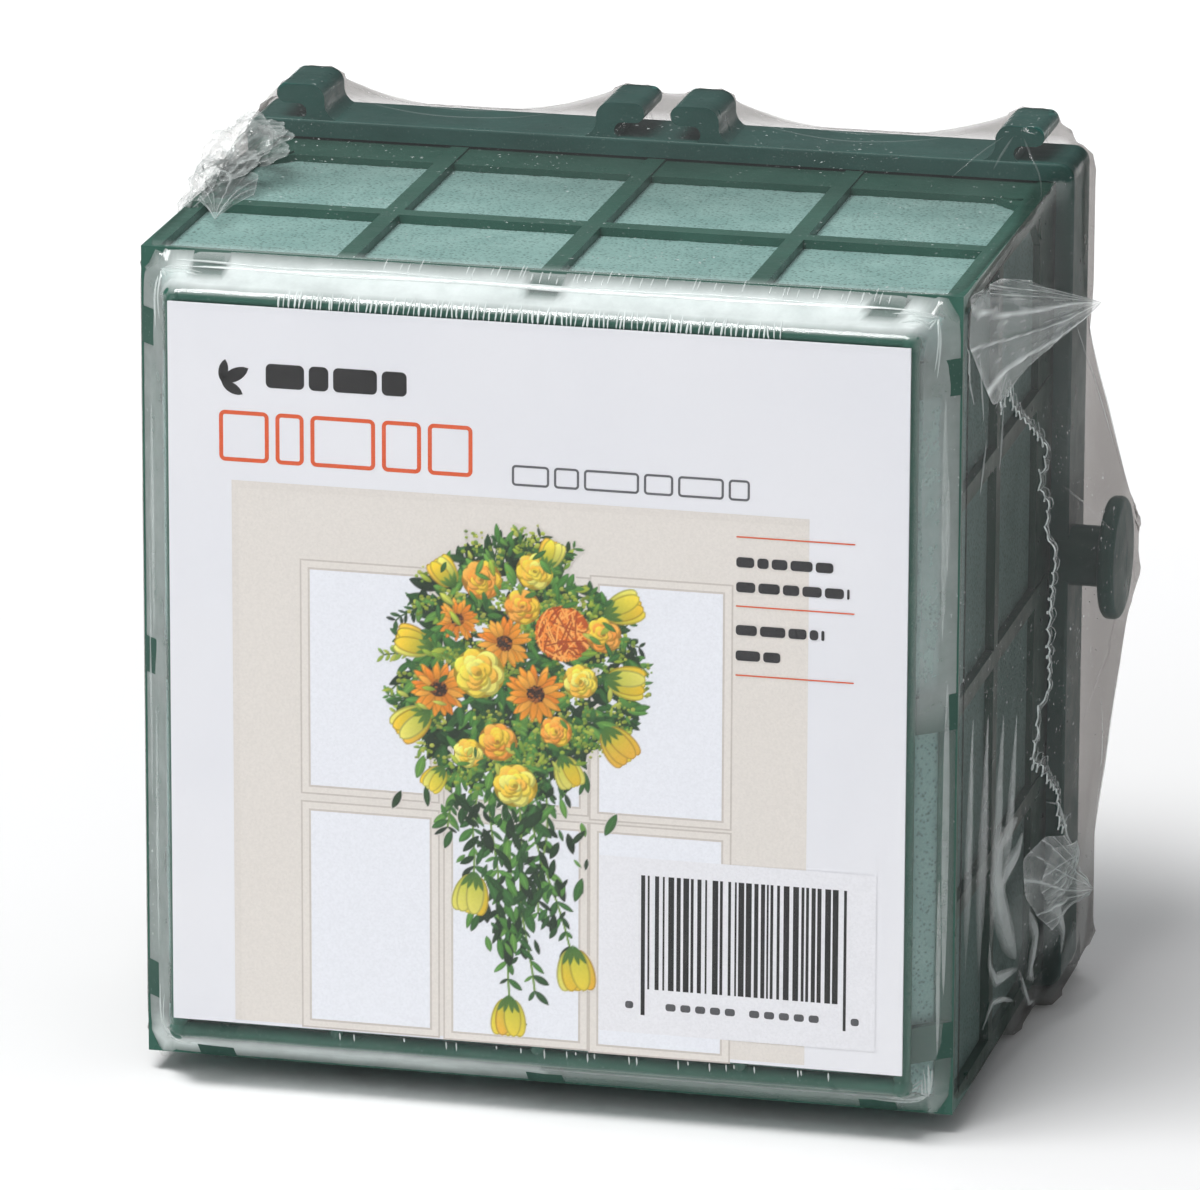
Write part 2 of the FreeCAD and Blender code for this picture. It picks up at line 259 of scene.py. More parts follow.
def blend_colours(tree, factor, a, b, mode="MIX"):
    node = tree.nodes.new("ShaderNodeMix")
    node.data_type = "RGBA"
    node.blend_type = mode
    named = {"Factor": factor, "A": a, "B": b}
    for socket in node.inputs:
        if socket.enabled and socket.name in named:
            put(tree, socket, named[socket.name])
    return next(s for s in node.outputs if s.enabled)


def plastic_material(name, dark, light, rough):
    """Moulded green plastic: cloudy colour, fine pale specks and a slightly uneven gloss."""
    material, tree, shader = node_material(name)
    place = object_place(tree)
    colour = colour_ramp(tree, noise_texture(tree, place, 90, 3), [(0.3, dark), (0.7, light)])
    specks = colour_ramp(tree, noise_texture(tree, place, 2600, 1), [(0.68, 0), (0.76, 0.35)])
    gloss = noise_texture(tree, place, 260, 4)
    fill(
        tree, shader, IOR=1.49, Specular_IOR_Level=0.22,
        Base_Color=blend_colours(tree, specks, colour, (0.24, 0.34, 0.31)),
        Roughness=colour_ramp(tree, gloss, [(0.3, rough - 0.08), (0.75, rough + 0.12)]),
        Normal=bump(tree, noise_texture(tree, place, 700, 3), 0.25, 0.0002),
    )
    return material


def foam_material():
    """Open-celled foam: fine dark pores, a few larger ones, soft mottling."""
    material, tree, shader = node_material("foam_cells")
    place = object_place(tree)
    mottles = noise_texture(tree, place, 140, 4)
    colour = colour_ramp(tree, mottles, [(0.3, (0.21, 0.36, 0.335)), (0.7, (0.275, 0.44, 0.41))])
    cells = add(tree, "ShaderNodeTexVoronoi", Vector=place, Scale=1500.0).outputs["Distance"]
    pits = add(tree, "ShaderNodeTexVoronoi", Vector=place, Scale=420.0).outputs["Distance"]
    for distance, stops in [
        (cells, [(0.12, 0.55), (0.42, 1)]), (pits, [(0.05, (0.45, 0.5, 0.48)), (0.13, 1)])
    ]:
        colour = blend_colours(tree, 1.0, colour, colour_ramp(tree, distance, stops), "MULTIPLY")
    fill(
        tree, shader, Base_Color=colour, Roughness=0.95, Specular_IOR_Level=0.15,
        Normal=bump(tree, cells, 0.6, 0.0002),
    )
    return material


def card_material():
    """Coated white card with a faint cold tone and the least unevenness."""
    material, tree, shader = node_material("card_stock")
    place = object_place(tree)
    clouds = noise_texture(tree, place, 25, 2)
    fill(
        tree, shader, Roughness=0.45,
        Base_Color=colour_ramp(tree, clouds, [(0.3, (0.80, 0.815, 0.865)), (0.7, (0.84, 0.85, 0.89))]),
        Normal=bump(tree, noise_texture(tree, place, 1800, 2), 0.08, 0.0001),
    )
    return material


def print_material(name):
    """Printing ink in the colours painted on the mesh, with a fine grain."""
    material, tree, shader = node_material(name)
    grain = noise_texture(tree, object_place(tree), 3000, 1)
    grain = colour_ramp(tree, grain, [(0.3, 0.94), (0.7, 1)])
    inked = blend_colours(tree, 1.0, painted(tree, "ink", "Color"), grain, "MULTIPLY")
    fill(tree, shader, Base_Color=inked, Roughness=0.5, Specular_IOR_Level=0.3)
    return material


def film_material(name, rough=0.07, crease=0.35):
    """Clear shrink film: see-through, glossy, hazier where the mesh says so.

    The attribute haze whitens the film: its own milkiness, together with painted
    reflections and highlights. The attribute veil darkens what shows through it: the
    film's tint, together with painted shade on the holder's sides. The attribute dust
    lets specks of dust show.
    """
    material, tree, shader = node_material(name)
    place = object_place(tree)
    soft = bump(tree, noise_texture(tree, place, 45, 3, 0.55), crease, 0.0016)
    fine = bump(tree, noise_texture(tree, place, 420, 3, 0.6), crease * 0.4, 0.0003, Normal=soft)
    # the darker see-through colour: the film's tint, and painted shade where the veil is high on the sides
    see = blend_colours(tree, painted(tree, "veil_and_shade"), (0.985, 0.983, 0.98), (0.52, 0.505, 0.495))
    clear = add(tree, "ShaderNodeBsdfTransparent", Color=see)

    clouds = noise_texture(tree, place, 160, 5, 0.65)
    patchy = remap(tree, clouds, From_Min=0.35, From_Max=0.7, To_Min=0.88, To_Max=1.12)
    grains = noise_texture(tree, place, 1500, 1, 0.4)
    grains = remap(tree, grains, From_Min=0.705, From_Max=0.76, To_Min=0.0, To_Max=0.5)
    drifts = remap(tree, noise_texture(tree, place, 55, 2), From_Min=0.45, From_Max=0.62)
    dust = math_node(tree, "MULTIPLY", math_node(tree, "MULTIPLY", grains, drifts), painted(tree, "dust"))
    # the film's whiteness: its own milkiness, with the painted reflections and highlights that haze carries
    white = math_node(tree, "MULTIPLY_ADD", painted(tree, "haze_and_glare"), patchy, dust, clamp=True)
    fill(tree, shader, Base_Color=(0.82, 0.89, 0.875), Roughness=0.35, Normal=fine)
    body = add(tree, "ShaderNodeMixShader", Fac=white)

    gloss = add(tree, "ShaderNodeBsdfGlossy", Color=(1, 1, 1), Roughness=rough, Normal=fine)
    slant = add(tree, "ShaderNodeLayerWeight", Blend=0.5, Normal=fine).outputs["Facing"]
    mirror = remap(tree, math_node(tree, "POWER", slant, 5.0), To_Min=0.03, To_Max=0.075)
    skin = add(tree, "ShaderNodeMixShader", Fac=mirror)
    for mix, first, second in [(body, clear, shader), (skin, body, gloss)]:
        tree.links.new(first.outputs[0], mix.inputs[1])
        tree.links.new(second.outputs[0], mix.inputs[2])
    tree.links.new(skin.outputs[0], tree.nodes["Material Output"].inputs["Surface"])
    return material


# ---------------------------------------------------------------- plastic parts of the frame
def wear(name, material):
    """Gives a node of the frame its one material."""
    node = NODES[name]
    node.data.materials.clear()
    node.data.materials.append(material)
    return node


def dress_plastic():
    """Gives the moulded parts their plastic and rounds their edges."""
    cage = plastic_material("cage_plastic_green", (0.03, 0.1, 0.074), (0.045, 0.132, 0.1), 0.34)
    tray = plastic_material("tray_plastic_green", (0.028, 0.105, 0.09), (0.042, 0.145, 0.125), 0.34)
    strap = plastic_material("strap_plastic_green", (0.03, 0.08, 0.062), (0.042, 0.1, 0.078), 0.62)
    rounds = {"base_tray": (tray, 0.35 * MM), "front_grille": (cage, 0), "hinge_straps": (strap, 0.18 * MM)}
    for side in ("top", "bottom", "left", "right"):
        rounds[side + "_panel"] = (cage, 0.28 * MM)
    for name, (material, width) in rounds.items():
        node = wear(name, material)
        if width:
            flat = node.modifiers.new("flat_faces", "DECIMATE")
            flat.decimate_type = "DISSOLVE"
            flat.angle_limit = math.radians(1.5)
            edge = node.modifiers.new("round_edges", "BEVEL")
            edge.width = width
            edge.segments = 2
            edge.limit_method = "ANGLE"
            edge.angle_limit = math.radians(35)
            edge.harden_normals = True


# ---------------------------------------------------------------- foam
FOAM_CHAMFER = 4.2 * MM


def foam_block():
    """The foam, with its front end pressed in, its front edges slanted and its faces a little rough."""
    step = 1.3 * MM
    size = foam_high - foam_low
    counts = np.round(size / step).astype(int)
    lattice, quads = box_lattice(counts)
    share = lattice / counts
    points = foam_low + share * size
    middle = (foam_low + foam_high) / 2
    depth = points[:, 1] - foam_low[1]
    lip = CAGE_FRONT - foam_low[1]
    dent = 1.5 * MM
    front = 1 - smoothstep(lip, lip + 2.5 * MM, depth)
    chamfer = np.maximum(FOAM_CHAMFER - depth, 0)
    pull = front * dent + chamfer
    for axis in (0, 2):
        half = size[axis] / 2
        offset = points[:, axis] - middle[axis]
        points[:, axis] = middle[axis] + offset * (half - pull) / half
    points += rng.normal(0, 0.03 * MM, points.shape)
    piece = add_mesh("foam_core", points, quads, foam_material())
    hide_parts("foam_brick")


# ---------------------------------------------------------------- card: what is printed on it
def ink(red, green, blue):
    """The linear colour of an ink from its screen colour, 0 to 255."""
    c = np.array([red, green, blue]) / 255
    return np.where(c <= 0.04045, c / 12.92, ((c + 0.055) / 1.055) ** 2.4)


CARD_H = (card_high[2] - card_low[2]) / MM
LAYER = 0.012
DOOR = ink(231, 226, 220)
DOOR_LINE = ink(206, 199, 192)
PANE = ink(240, 243, 250)
PAPER = ink(238, 239, 244)
BLACK = ink(22, 22, 24)
ORANGE = ink(226, 92, 42)
GREY = ink(96, 97, 102)

# the printed door: left, top, right, bottom in millimetres from the card's upper left corner
DOOR_PLACE = (9.4, 26.0, 94.6, 108.1)
PANES = [
    (21.0, 38.6, 38.8, 71.2), (42.3, 38.4, 61.0, 71.5), (64.0, 38.0, 82.1, 72.0),
    (21.0, 75.1, 38.8, 107.0), (42.3, 75.2, 61.0, 107.2), (64.0, 75.2, 82.1, 107.4),
]
WHITE_BOX = (64.0, 78.5, 105.0, 105.2)


def on_card(x, y, layer):
    """Points in the CAD frame from millimetres across, millimetres down and a layer of ink."""
    x, y, layer = np.broadcast_arrays(np.asarray(x, float), y, layer)
    return np.stack([card_low[0] + x * MM, card_low[1] - layer * LAYER * MM, card_high[2] - y * MM], -1)


def round_outline(left, top, right, bottom, r, per_corner=7):
    """A rounded rectangle's outline, clockwise on the card."""
    r = max(min(r, (right - left) / 2, (bottom - top) / 2), 0.01)
    turns = np.linspace(0, math.pi / 2, per_corner)
    outline = []
    for quarter, (x, y) in enumerate(
        [(right - r, top + r), (right - r, bottom - r), (left + r, bottom - r), (left + r, top + r)]
    ):
        turn = turns + (quarter - 1) * math.pi / 2
        outline.append(np.stack([x + r * np.cos(turn), y + r * np.sin(turn)], 1))
    return np.concatenate(outline)


class FlatPrint(Gathered):
    """Flat printed shapes with their colours."""

    def polygon(self, outline, colour, layer):
        n = len(outline)
        self.take(on_card(*np.transpose(outline), layer), [range(n)[::-1]], np.broadcast_to(colour, (n, 3)))

    def box(self, place, colour, layer, r=0.0):
        self.polygon(round_outline(*place, r, 2 if r == 0 else 7), colour, layer)

    def ring(self, place, stroke, colour, layer, r):
        """A rounded outline of one stroke's width."""
        left, top, right, bottom = place
        outer = round_outline(*place, r)
        inner = round_outline(left + stroke, top + stroke, right - stroke, bottom - stroke, r - stroke)
        n = len(outer)
        points = on_card(*np.concatenate([outer, inner]).T, layer)
        sides = [(i, n + i, n + (i + 1) % n, (i + 1) % n) for i in range(n)]
        self.take(points, sides, np.broadcast_to(colour, (2 * n, 3)))

    def piece(self, name, material):
        made = self.mesh(name, material, smooth=False)
        paint_colour(made, "ink", np.concatenate(self.values))


def blocks(draw, left, top, bottom, widths, gap):
    """Draws a row of blocks in the place of a word, from their widths with the gaps."""
    for width in widths:
        draw((left, top, left + width - gap, bottom))
        left += width


def leaf_outline(x, y, length, width, turn, per_side=9):
    along = np.linspace(-1, 1, per_side)
    side = width / 2 * (1 - along**2) ** 0.8
    u = np.concatenate([along, along[::-1][1:-1]]) * length / 2
    v = np.concatenate([side, -side[::-1][1:-1]])
    cos, sin = math.cos(turn), math.sin(turn)
    return np.stack([x + u * cos - v * sin, y + u * sin + v * cos], 1)


def card_print(material):
    """The door behind the bouquet, and plain bars and blocks in place of the card's words and code."""
    sheet = FlatPrint()
    left, top, right, bottom = DOOR_PLACE
    sheet.box(DOOR_PLACE, DOOR, 1)
    sheet.box((left, top, right, top + 1.1), DOOR * 0.97, 2)
    sheet.box((left, top + 1.1, left + 1.0, bottom), DOOR * 0.97, 2)
    for x0, y0, x1, y1 in PANES:
        y1 = min(y1, CARD_H - 0.4)
        sheet.box((x0 - 1.5, y0 - 1.5, x1 + 1.5, y1 + 1.4), DOOR_LINE, 2)
        sheet.box((x0 - 1.25, y0 - 1.25, x1 + 1.25, y1 + 1.15), DOOR * 1.02, 3)
        sheet.box((x0 - 0.3, y0 - 0.3, x1 + 0.3, y1 + 0.3), DOOR_LINE * 1.04, 4)
        sheet.box((x0, y0, x1, y1), PANE, 5)
    sheet.box(WHITE_BOX, PAPER, 6)

    # the dark mark: three leaves and a row of filled blocks
    for turn, size in [(-0.5, 4.6), (0.5, 3.6), (-1.4, 3.4)]:
        x, y = off(8.0, 11.4, 0.5 * size, turn)
        sheet.polygon(leaf_outline(x, y, size, size * 0.42, turn), BLACK, 2)
    blocks(lambda place: sheet.box(place, BLACK, 2, 0.8), 14.6, 8.3, 11.9, (6.4, 3.6, 7.2, 4.4), 0.7)
    # the coloured name and the words after it: thin open blocks
    name_widths = (8.4, 5.2, 10.6, 6.8, 7.6)
    word_widths = (6.2, 4.4, 8.8, 5, 7.4, 3.8)
    blocks(lambda place: sheet.ring(place, 0.6, ORANGE, 2, 0.9), 7.6, 15.6, 23.2, name_widths, 1.0)
    blocks(lambda place: sheet.ring(place, 0.34, GREY, 2, 0.6), 51, 20.9, 24, word_widths, 0.7)
    # the small print between its rules
    for y in (29.2, 39.5, 49.8):
        sheet.box((84.0, y, 101.3, y + 0.2), ORANGE, 6)
    for end, y in [(98.6, 32.3), (101.0, 36.0), (97.4, 42.4), (91.0, 46.2)]:
        at = 84.0
        while at < end - 0.6:
            width = min(rng.uniform(1.4, 4.2), end - at)
            sheet.box((at, y, at + width - 0.45, y + 1.5), BLACK * 2.5, 6, 0.5)
            at += width
    # the code's place: bars of random widths, and small blocks under them
    at = 70.3
    while at < 100.3:
        width = rng.choice([0.28, 0.42, 0.6, 0.85])
        sheet.box((at, 81.1, at + width, 98.4 if 71.2 < at < 99.3 else 102.4), BLACK, 7)
        at += width + rng.choice([0.26, 0.38, 0.55, 0.8])
    for x0, x1 in [(68.0, 69.2), (74.0, 84.0), (86.4, 96.6), (101.4, 102.6)]:
        for at in np.arange(x0, x1 - 0.5, 2.2):
            sheet.box((at, 100.4, at + min(1.5, x1 - x0), 101.5), GREY * 0.7, 7, 0.4)
    sheet.piece("card_print", material)


# the bouquet is painted dot by dot and printed as a fine mesh
DOT = 0.15
PICTURE = (29.0, 28.5, 75.5, 108.2)
BOUQUET_MID = np.array([51.7, 51.0])
BOUQUET_HALF = np.array([17.6, 18.2])


def off(x, y, far, turn):
    """The point that is far away from x, y towards turn."""
    return x + far * math.cos(turn), y + far * math.sin(turn)


class Picture:
    """Dots of paint on the card, each with a colour and how much of it covers."""

    def __init__(self):
        left, top, right, bottom = PICTURE
        self.x = np.arange(left, right, DOT)
        self.y = np.arange(top, bottom, DOT)
        self.colour = np.zeros((len(self.y), len(self.x), 3))
        self.cover = np.zeros((len(self.y), len(self.x)))

    def stamp(self, x, y, a, b, turn, tip, root, taper=0.5, light=0.25, strength=1.0):
        """One petal or leaf of half length a and half width b, its tip towards turn."""
        reach = max(a, b) + DOT
        i0, i1 = np.searchsorted(self.y, [y - reach, y + reach])
        j0, j1 = np.searchsorted(self.x, [x - reach, x + reach])
        if i0 >= i1 or j0 >= j1:
            return
        dx = self.x[None, j0:j1] - x
        dy = self.y[i0:i1, None] - y
        u = (dx * math.cos(turn) + dy * math.sin(turn)) / a
        v = dy * math.cos(turn) - dx * math.sin(turn)
        width = b * np.maximum(1 - u * u, 0) ** taper
        cover = np.clip((width - np.abs(v)) / DOT + 0.5, 0, 1) * (np.abs(u) < 1) * strength
        t = np.clip(u * 0.5 + 0.5, 0, 1)[..., None]
        tone = root * (1 - t) + tip * t
        tone = tone * (1 - light * (dx + 1.4 * dy) / (a + b))[..., None]
        spot = cover[..., None]
        self.colour[i0:i1, j0:j1] = self.colour[i0:i1, j0:j1] * (1 - spot) + np.clip(tone, 0, 1) * spot
        self.cover[i0:i1, j0:j1] = 1 - (1 - self.cover[i0:i1, j0:j1]) * (1 - cover)

    def line(self, points, width, tone):
        """A thin line through the points, as a row of stamps."""
        points = np.asarray(points, float)
        for start, end in zip(points[:-1], points[1:]):
            run = end - start
            length = np.hypot(*run)
            steps = max(int(length / (width * 0.6)), 1)
            for k in range(steps):
                x, y = start + run * (k + 0.5) / steps
                turn = math.atan2(run[1], run[0])
                self.stamp(x, y, width, width * 0.5, turn, tone * 1.1, tone, light=0.1)


YELLOW = [ink(250, 226, 70), ink(247, 206, 48), ink(240, 232, 110), ink(252, 196, 60)]
AMBER = [ink(246, 158, 40), ink(250, 176, 62), ink(238, 140, 34)]
DARK_LEAF = [ink(24, 58, 26), ink(34, 76, 34), ink(18, 44, 22), ink(44, 92, 40)]
MID_LEAF = [ink(66, 122, 48), ink(84, 140, 58), ink(52, 104, 46), ink(96, 148, 62)]
FILLER = [ink(168, 186, 62), ink(148, 174, 56), ink(190, 198, 84), ink(122, 158, 52)]


def pick(tones):
    return tones[rng.integers(len(tones))]


def rose(picture, x, y, r, tones):
    """A rose from outside in: rings of overlapping petals, each with a darker edge."""
    picture.stamp(x, y, r * 1.02, r * 1.0, 0, tones[1] * 0.4, tones[1] * 0.4, light=0)
    start = rng.uniform(0, 6)
    for petals, out, size in [(7, 0.52, 0.5), (6, 0.36, 0.42), (5, 0.22, 0.34), (4, 0.11, 0.22)]:
        for k in range(petals):
            turn = start + k * 2 * math.pi / petals + rng.normal(0, 0.12)
            px, py = off(x, y, out * r, turn)
            tone = pick(tones)
            picture.stamp(px, py, r * size, r * size * 0.86, turn, tone * 0.62, tone * 0.5, light=0.1)
            px, py = px - 0.05 * r, py - 0.06 * r
            face = tone * 1.12 + 0.03
            picture.stamp(px, py, r * size * 0.9, r * size * 0.76, turn, face, tone * 0.72, light=0.2)
        start += 0.55
    picture.stamp(x, y, r * 0.12, r * 0.08, start, tones[1] * 0.45, tones[1] * 0.35, light=0)


def daisy(picture, x, y, r):
    """An open flower with long orange petals round a dark middle."""
    for ring, (petals, out, length) in enumerate([(15, 0.6, 0.42), (13, 0.48, 0.38)]):
        for k in range(petals):
            turn = k * 2 * math.pi / petals + ring * 0.2 + rng.normal(0, 0.1)
            far = out * rng.uniform(0.92, 1.08)
            px, py = off(x, y, far * r, turn)
            tone = pick(AMBER)
            picture.stamp(px, py, r * length, r * 0.13, turn, tone * 0.5, tone * 0.4, 0.7, 0)
            picture.stamp(px, py, r * length * 0.94, r * 0.105, turn, tone * 1.1, tone * 0.6, 0.7, 0.15)
    picture.stamp(x, y, r * 0.3, r * 0.28, 0, ink(64, 34, 16), ink(40, 22, 12), light=0.2)
    for _ in range(34):
        turn, far = rng.uniform(0, 2 * math.pi), r * 0.3 * math.sqrt(rng.uniform(0.1, 1))
        tone = pick([ink(120, 66, 24), ink(30, 16, 10), ink(168, 96, 30)])
        picture.stamp(*off(x, y, far, turn), 0.2, 0.16, turn, tone, tone)


def thread_ball(picture, x, y, r):
    """A ball wound with orange thread."""
    picture.stamp(x, y, r, r, 0, ink(196, 84, 18), ink(204, 92, 22), light=0.5)
    for _ in range(60):
        turn = rng.uniform(0, math.pi)
        off = rng.uniform(-0.85, 0.85)
        chord = math.sqrt(1 - off * off) * r
        t = np.linspace(-1, 1, 9)
        bow = off * r * (1 + 0.25 * (1 - t * t) * np.sign(off))
        px = x + t * chord * math.cos(turn) - bow * math.sin(turn)
        py = y + t * chord * math.sin(turn) + bow * math.cos(turn)
        keep = np.hypot(px - x, py - y) < r
        tone = pick([ink(246, 150, 56), ink(226, 116, 30), ink(170, 70, 14), ink(255, 176, 88)])
        if keep.sum() > 2:
            picture.line(np.stack([px, py], 1)[keep], 0.2, tone)


def bud(picture, x, y, r, turn, tones=YELLOW):
    """A closed flower seen from the side, its mouth towards turn."""
    along = np.array([math.cos(turn), math.sin(turn)])
    aside = np.array([-along[1], along[0]])
    for off, spread in [(-0.42, -0.22), (0.42, 0.22), (0.0, 0.0), (0.22, 0.1), (-0.2, -0.1)]:
        px, py = np.array([x, y]) + aside * off * r
        tone = pick(tones)
        picture.stamp(px, py, r, r * 0.46, turn + spread, tone * 0.55, tone * 0.4, light=0)
        picture.stamp(px, py, r * 0.93, r * 0.38, turn + spread, tone * 1.08, ink(168, 176, 50), light=0.2)
    for spread in (-0.7, -0.25, 0.3, 0.75):
        px, py = np.array([x, y]) - along * 0.72 * r + aside * spread * r * 0.45
        turned = turn + spread * 0.7
        picture.stamp(px, py, r * 0.5, r * 0.13, turned, ink(96, 134, 50), ink(56, 100, 40), 0.9)


def leaf(picture, x, y, a, turn, tones):
    tone = pick(tones)
    slim = rng.uniform(0.26, 0.42)
    picture.stamp(x, y, a, a * slim, turn, tone * 0.6, tone * 0.5, 0.85, 0)
    picture.stamp(x, y, a * 0.94, a * slim * 0.84, turn, tone * 1.15, tone * 0.85, 0.85, 0.3)
    if a > 1.2:
        picture.stamp(x, y, a * 0.8, 0.09, turn, tone * 1.7, tone * 1.4, 0.5, 0, 0.7)


def in_bouquet(share):
    """A place in the bouquet's oval, within a share of its size, and its outward turn."""
    turn = rng.uniform(0, 2 * math.pi)
    far = share * math.sqrt(rng.uniform(0, 1))
    wobble = 1 + 0.1 * math.sin(3 * turn + 1) + 0.06 * math.sin(7 * turn)
    x, y = BOUQUET_MID + BOUQUET_HALF * far * wobble * np.array([math.cos(turn), math.sin(turn)])
    return x, y, turn


def sprig(picture, x, y, turn, length, tones, size=0.9):
    """A thin stem that bends, with leaves in pairs."""
    bend = rng.normal(0, 0.5)
    steps = max(int(length / 0.9), 3)
    trail = [(x, y)]
    for _ in range(steps):
        turn += bend / steps
        x, y = off(x, y, length / steps, turn)
        trail.append((x, y))
    picture.line(trail, 0.2, ink(58, 92, 40))
    for px, py in trail[1:]:
        for side in (-1, 1):
            way = turn + side * rng.uniform(0.5, 1.0)
            a = size * rng.uniform(0.6, 1.1)
            leaf_off(picture, px, py, a, way, tones)


def leaf_off(picture, x, y, a, way, tones):
    """A leaf that grows out of a point, towards way."""
    leaf(picture, *off(x, y, a, way), a, way, tones)


def paint_bouquet(picture):
    # the trailing part, from the stems up to the leaves over them
    tails = [
        (46.5, 66, 45.0, 84.5), (50.0, 68, 51.0, 104.0), (53.5, 66, 60.2, 95.0), (48.0, 66, 49.0, 92.0),
        (56.0, 64, 55.0, 88.0), (44.5, 62, 41.5, 76.0), (52.0, 70, 54.5, 100.0),
    ]
    for x0, y0, x1, y1 in tails:
        t = np.linspace(0, 1, 14)
        sway = 0.9 * np.sin(t * 5 + x0)
        trail = np.stack([x0 + (x1 - x0) * t**1.4 + sway * t * (1 - t) * 3, y0 + (y1 - y0) * t], 1)
        picture.line(trail, 0.3, ink(112, 146, 62))
        for px, py in trail[1:]:
            for side in (-1, 1):
                if rng.random() < 0.8:
                    a = rng.uniform(0.7, 1.7)
                    way = math.pi / 2 + side * rng.uniform(0.3, 1.1)
                    leaf_off(picture, px, py, a, way, DARK_LEAF + MID_LEAF)
    for _ in range(240):
        y = 66 + 30 * rng.uniform(0, 1) ** 1.6
        x = 51 + rng.normal(0, 1) * (6.6 - 0.15 * (y - 66))
        leaf(picture, x, y, rng.uniform(0.8, 2.0), rng.uniform(0.7, 2.4), 2 * DARK_LEAF + MID_LEAF)
    for _ in range(46):
        turn = rng.uniform(0, 2 * math.pi)
        x, y = BOUQUET_MID + BOUQUET_HALF * 0.86 * np.array([math.cos(turn), math.sin(turn)])
        turn += rng.normal(0, 0.3)
        sprig(picture, x, y, turn, rng.uniform(2.0, 5.0), pick([MID_LEAF, DARK_LEAF, FILLER]))
    for count, share, sizes, spread, tones in [
        (620, 0.97, (1.0, 2.4), 0.8, DARK_LEAF), (330, 1.0, (0.8, 1.9), 0.9, MID_LEAF)
    ]:
        for _ in range(count):
            x, y, turn = in_bouquet(share)
            leaf(picture, x, y, rng.uniform(*sizes), turn + rng.normal(0, spread), tones)
    for _ in range(150):
        x, y, _turn = in_bouquet(1.03)
        for _dot in range(9):
            tone = pick(FILLER) * rng.uniform(0.6, 1.15)
            size = rng.uniform(0.16, 0.36)
            dx, dy = rng.normal(0, 0.8, 2)
            picture.stamp(x + dx, y + dy, size, size * 0.9, 0, tone, tone * 0.8, light=0.4)
    for x, y, r in [(40.2, 55.2, 4.3), (50.0, 47.6, 4.0), (54.6, 55.0, 4.4), (43.0, 44.6, 3.2)]:
        daisy(picture, x, y, r)
    thread_ball(picture, 58.6, 45.6, 4.1)
    amber_roses = [
        (46.6, 38.4, 2.9), (64.6, 45.4, 2.6), (52.6, 42.0, 2.6), (57.6, 60.4, 2.3), (49.0, 62.6, 2.8),
    ]
    yellow_roses = [
        (46.2, 52.4, 3.7), (51.6, 69.0, 3.2), (61.2, 52.6, 2.5), (54.4, 36.6, 2.7), (44.6, 64.6, 2.2),
    ]
    for places, tones in [(amber_roses, AMBER[:2] + YELLOW[1:2]), (yellow_roses, YELLOW)]:
        for place in places:
            rose(picture, *place, tones)
    for x, y, r, turn in [
        (36.4, 48.4, 2.7, 3.4), (36.2, 60.6, 2.9, 2.5), (67.6, 41.2, 2.8, -0.4), (68.0, 52.2, 2.8, 0.1),
        (66.8, 61.8, 2.9, 0.9), (59.4, 66.4, 2.4, 1.2), (41.0, 37.6, 2.3, -2.2), (56.8, 33.8, 2.1, -1.2),
        (39.6, 68.8, 2.0, 2.2), (45.0, 86.0, 3.0, 1.75), (60.6, 96.4, 3.2, 1.45), (50.6, 104.4, 2.9, 1.6),
    ]:
        bud(picture, x, y, r, turn)
    for _ in range(120):
        x, y, turn = in_bouquet(1.0)
        if np.hypot(*((np.array([x, y]) - BOUQUET_MID) / BOUQUET_HALF)) > 0.6:
            leaf(picture, x, y, rng.uniform(0.7, 1.4), turn + rng.normal(0, 0.8), MID_LEAF + FILLER)


def behind_bouquet(x, y):
    """The colour of the door's print at each dot."""
    tone = np.broadcast_to(PAPER, (*x.shape, 3)).copy()
    boxes = [(DOOR_PLACE, DOOR)] + [(place, PANE) for place in PANES] + [(WHITE_BOX, PAPER)]
    for (left, top, right, bottom), colour in boxes:
        tone[(x > left) & (x < right) & (y > top) & (y < bottom)] = colour
    return tone


def bouquet_print(material):
    picture = Picture()
    paint_bouquet(picture)
    x, y = np.meshgrid(picture.x, picture.y)
    spot = picture.cover[..., None]
    colour = picture.colour + behind_bouquet(x, y) * (1 - spot)
    quads = grid_faces(*x.shape)
    quads = quads[picture.cover.ravel()[quads].max(1) > 0.03]
    used, quads = np.unique(quads, return_inverse=True)
    points = on_card(x, y, 8).reshape(-1, 3)[used]
    piece = add_mesh("bouquet_print", points, quads.reshape(-1, 4)[:, ::-1], material, smooth=False)
    paint_colour(piece, "ink", np.clip(colour, 0, 1).reshape(-1, 3)[used])


def dress_card():
    wear("label_card", card_material())
    material = print_material("card_ink")
    card_print(material)
    bouquet_print(material)


# ---------------------------------------------------------------- film: what it is drawn over
def past_faces(past, r):
    """Distance to a shape with edges of radius r, from how far points are past its inner faces."""
    return np.linalg.norm(np.maximum(past, 0), axis=1) + np.minimum(past.max(1), 0) - r


def rounded_box(points, middle, half, r):
    """Distance to a box with rounded edges, in three dimensions or in two."""
    return past_faces(np.abs(points - middle) - (np.asarray(half) - r), r)


def plate(across, along, half, r):
    """Distance to a shape whose section has the distance across, between -half and half along."""
    return past_faces(np.stack([across + r, np.abs(along) - half + r], 1), r)


def tray_piece(points, middle, half, corner, depth, edge):
    """Distance to a part of the tray from its rounded outline across X and Z."""
    across = rounded_box(points[:, [0, 2]], middle, half, corner)
    return plate(across, points[:, 1] - (RIM_FRONT + BACK_Y) / 2, depth / 2, edge)


def rim_distance(points):
    half = [RIM_HALF_W, (RIM_TOP - RIM_BASE) / 2]
    return tray_piece(points, [0, MID_Z], half, RIM_CORNER_R, RIM_DEPTH, 0.5 * MM)


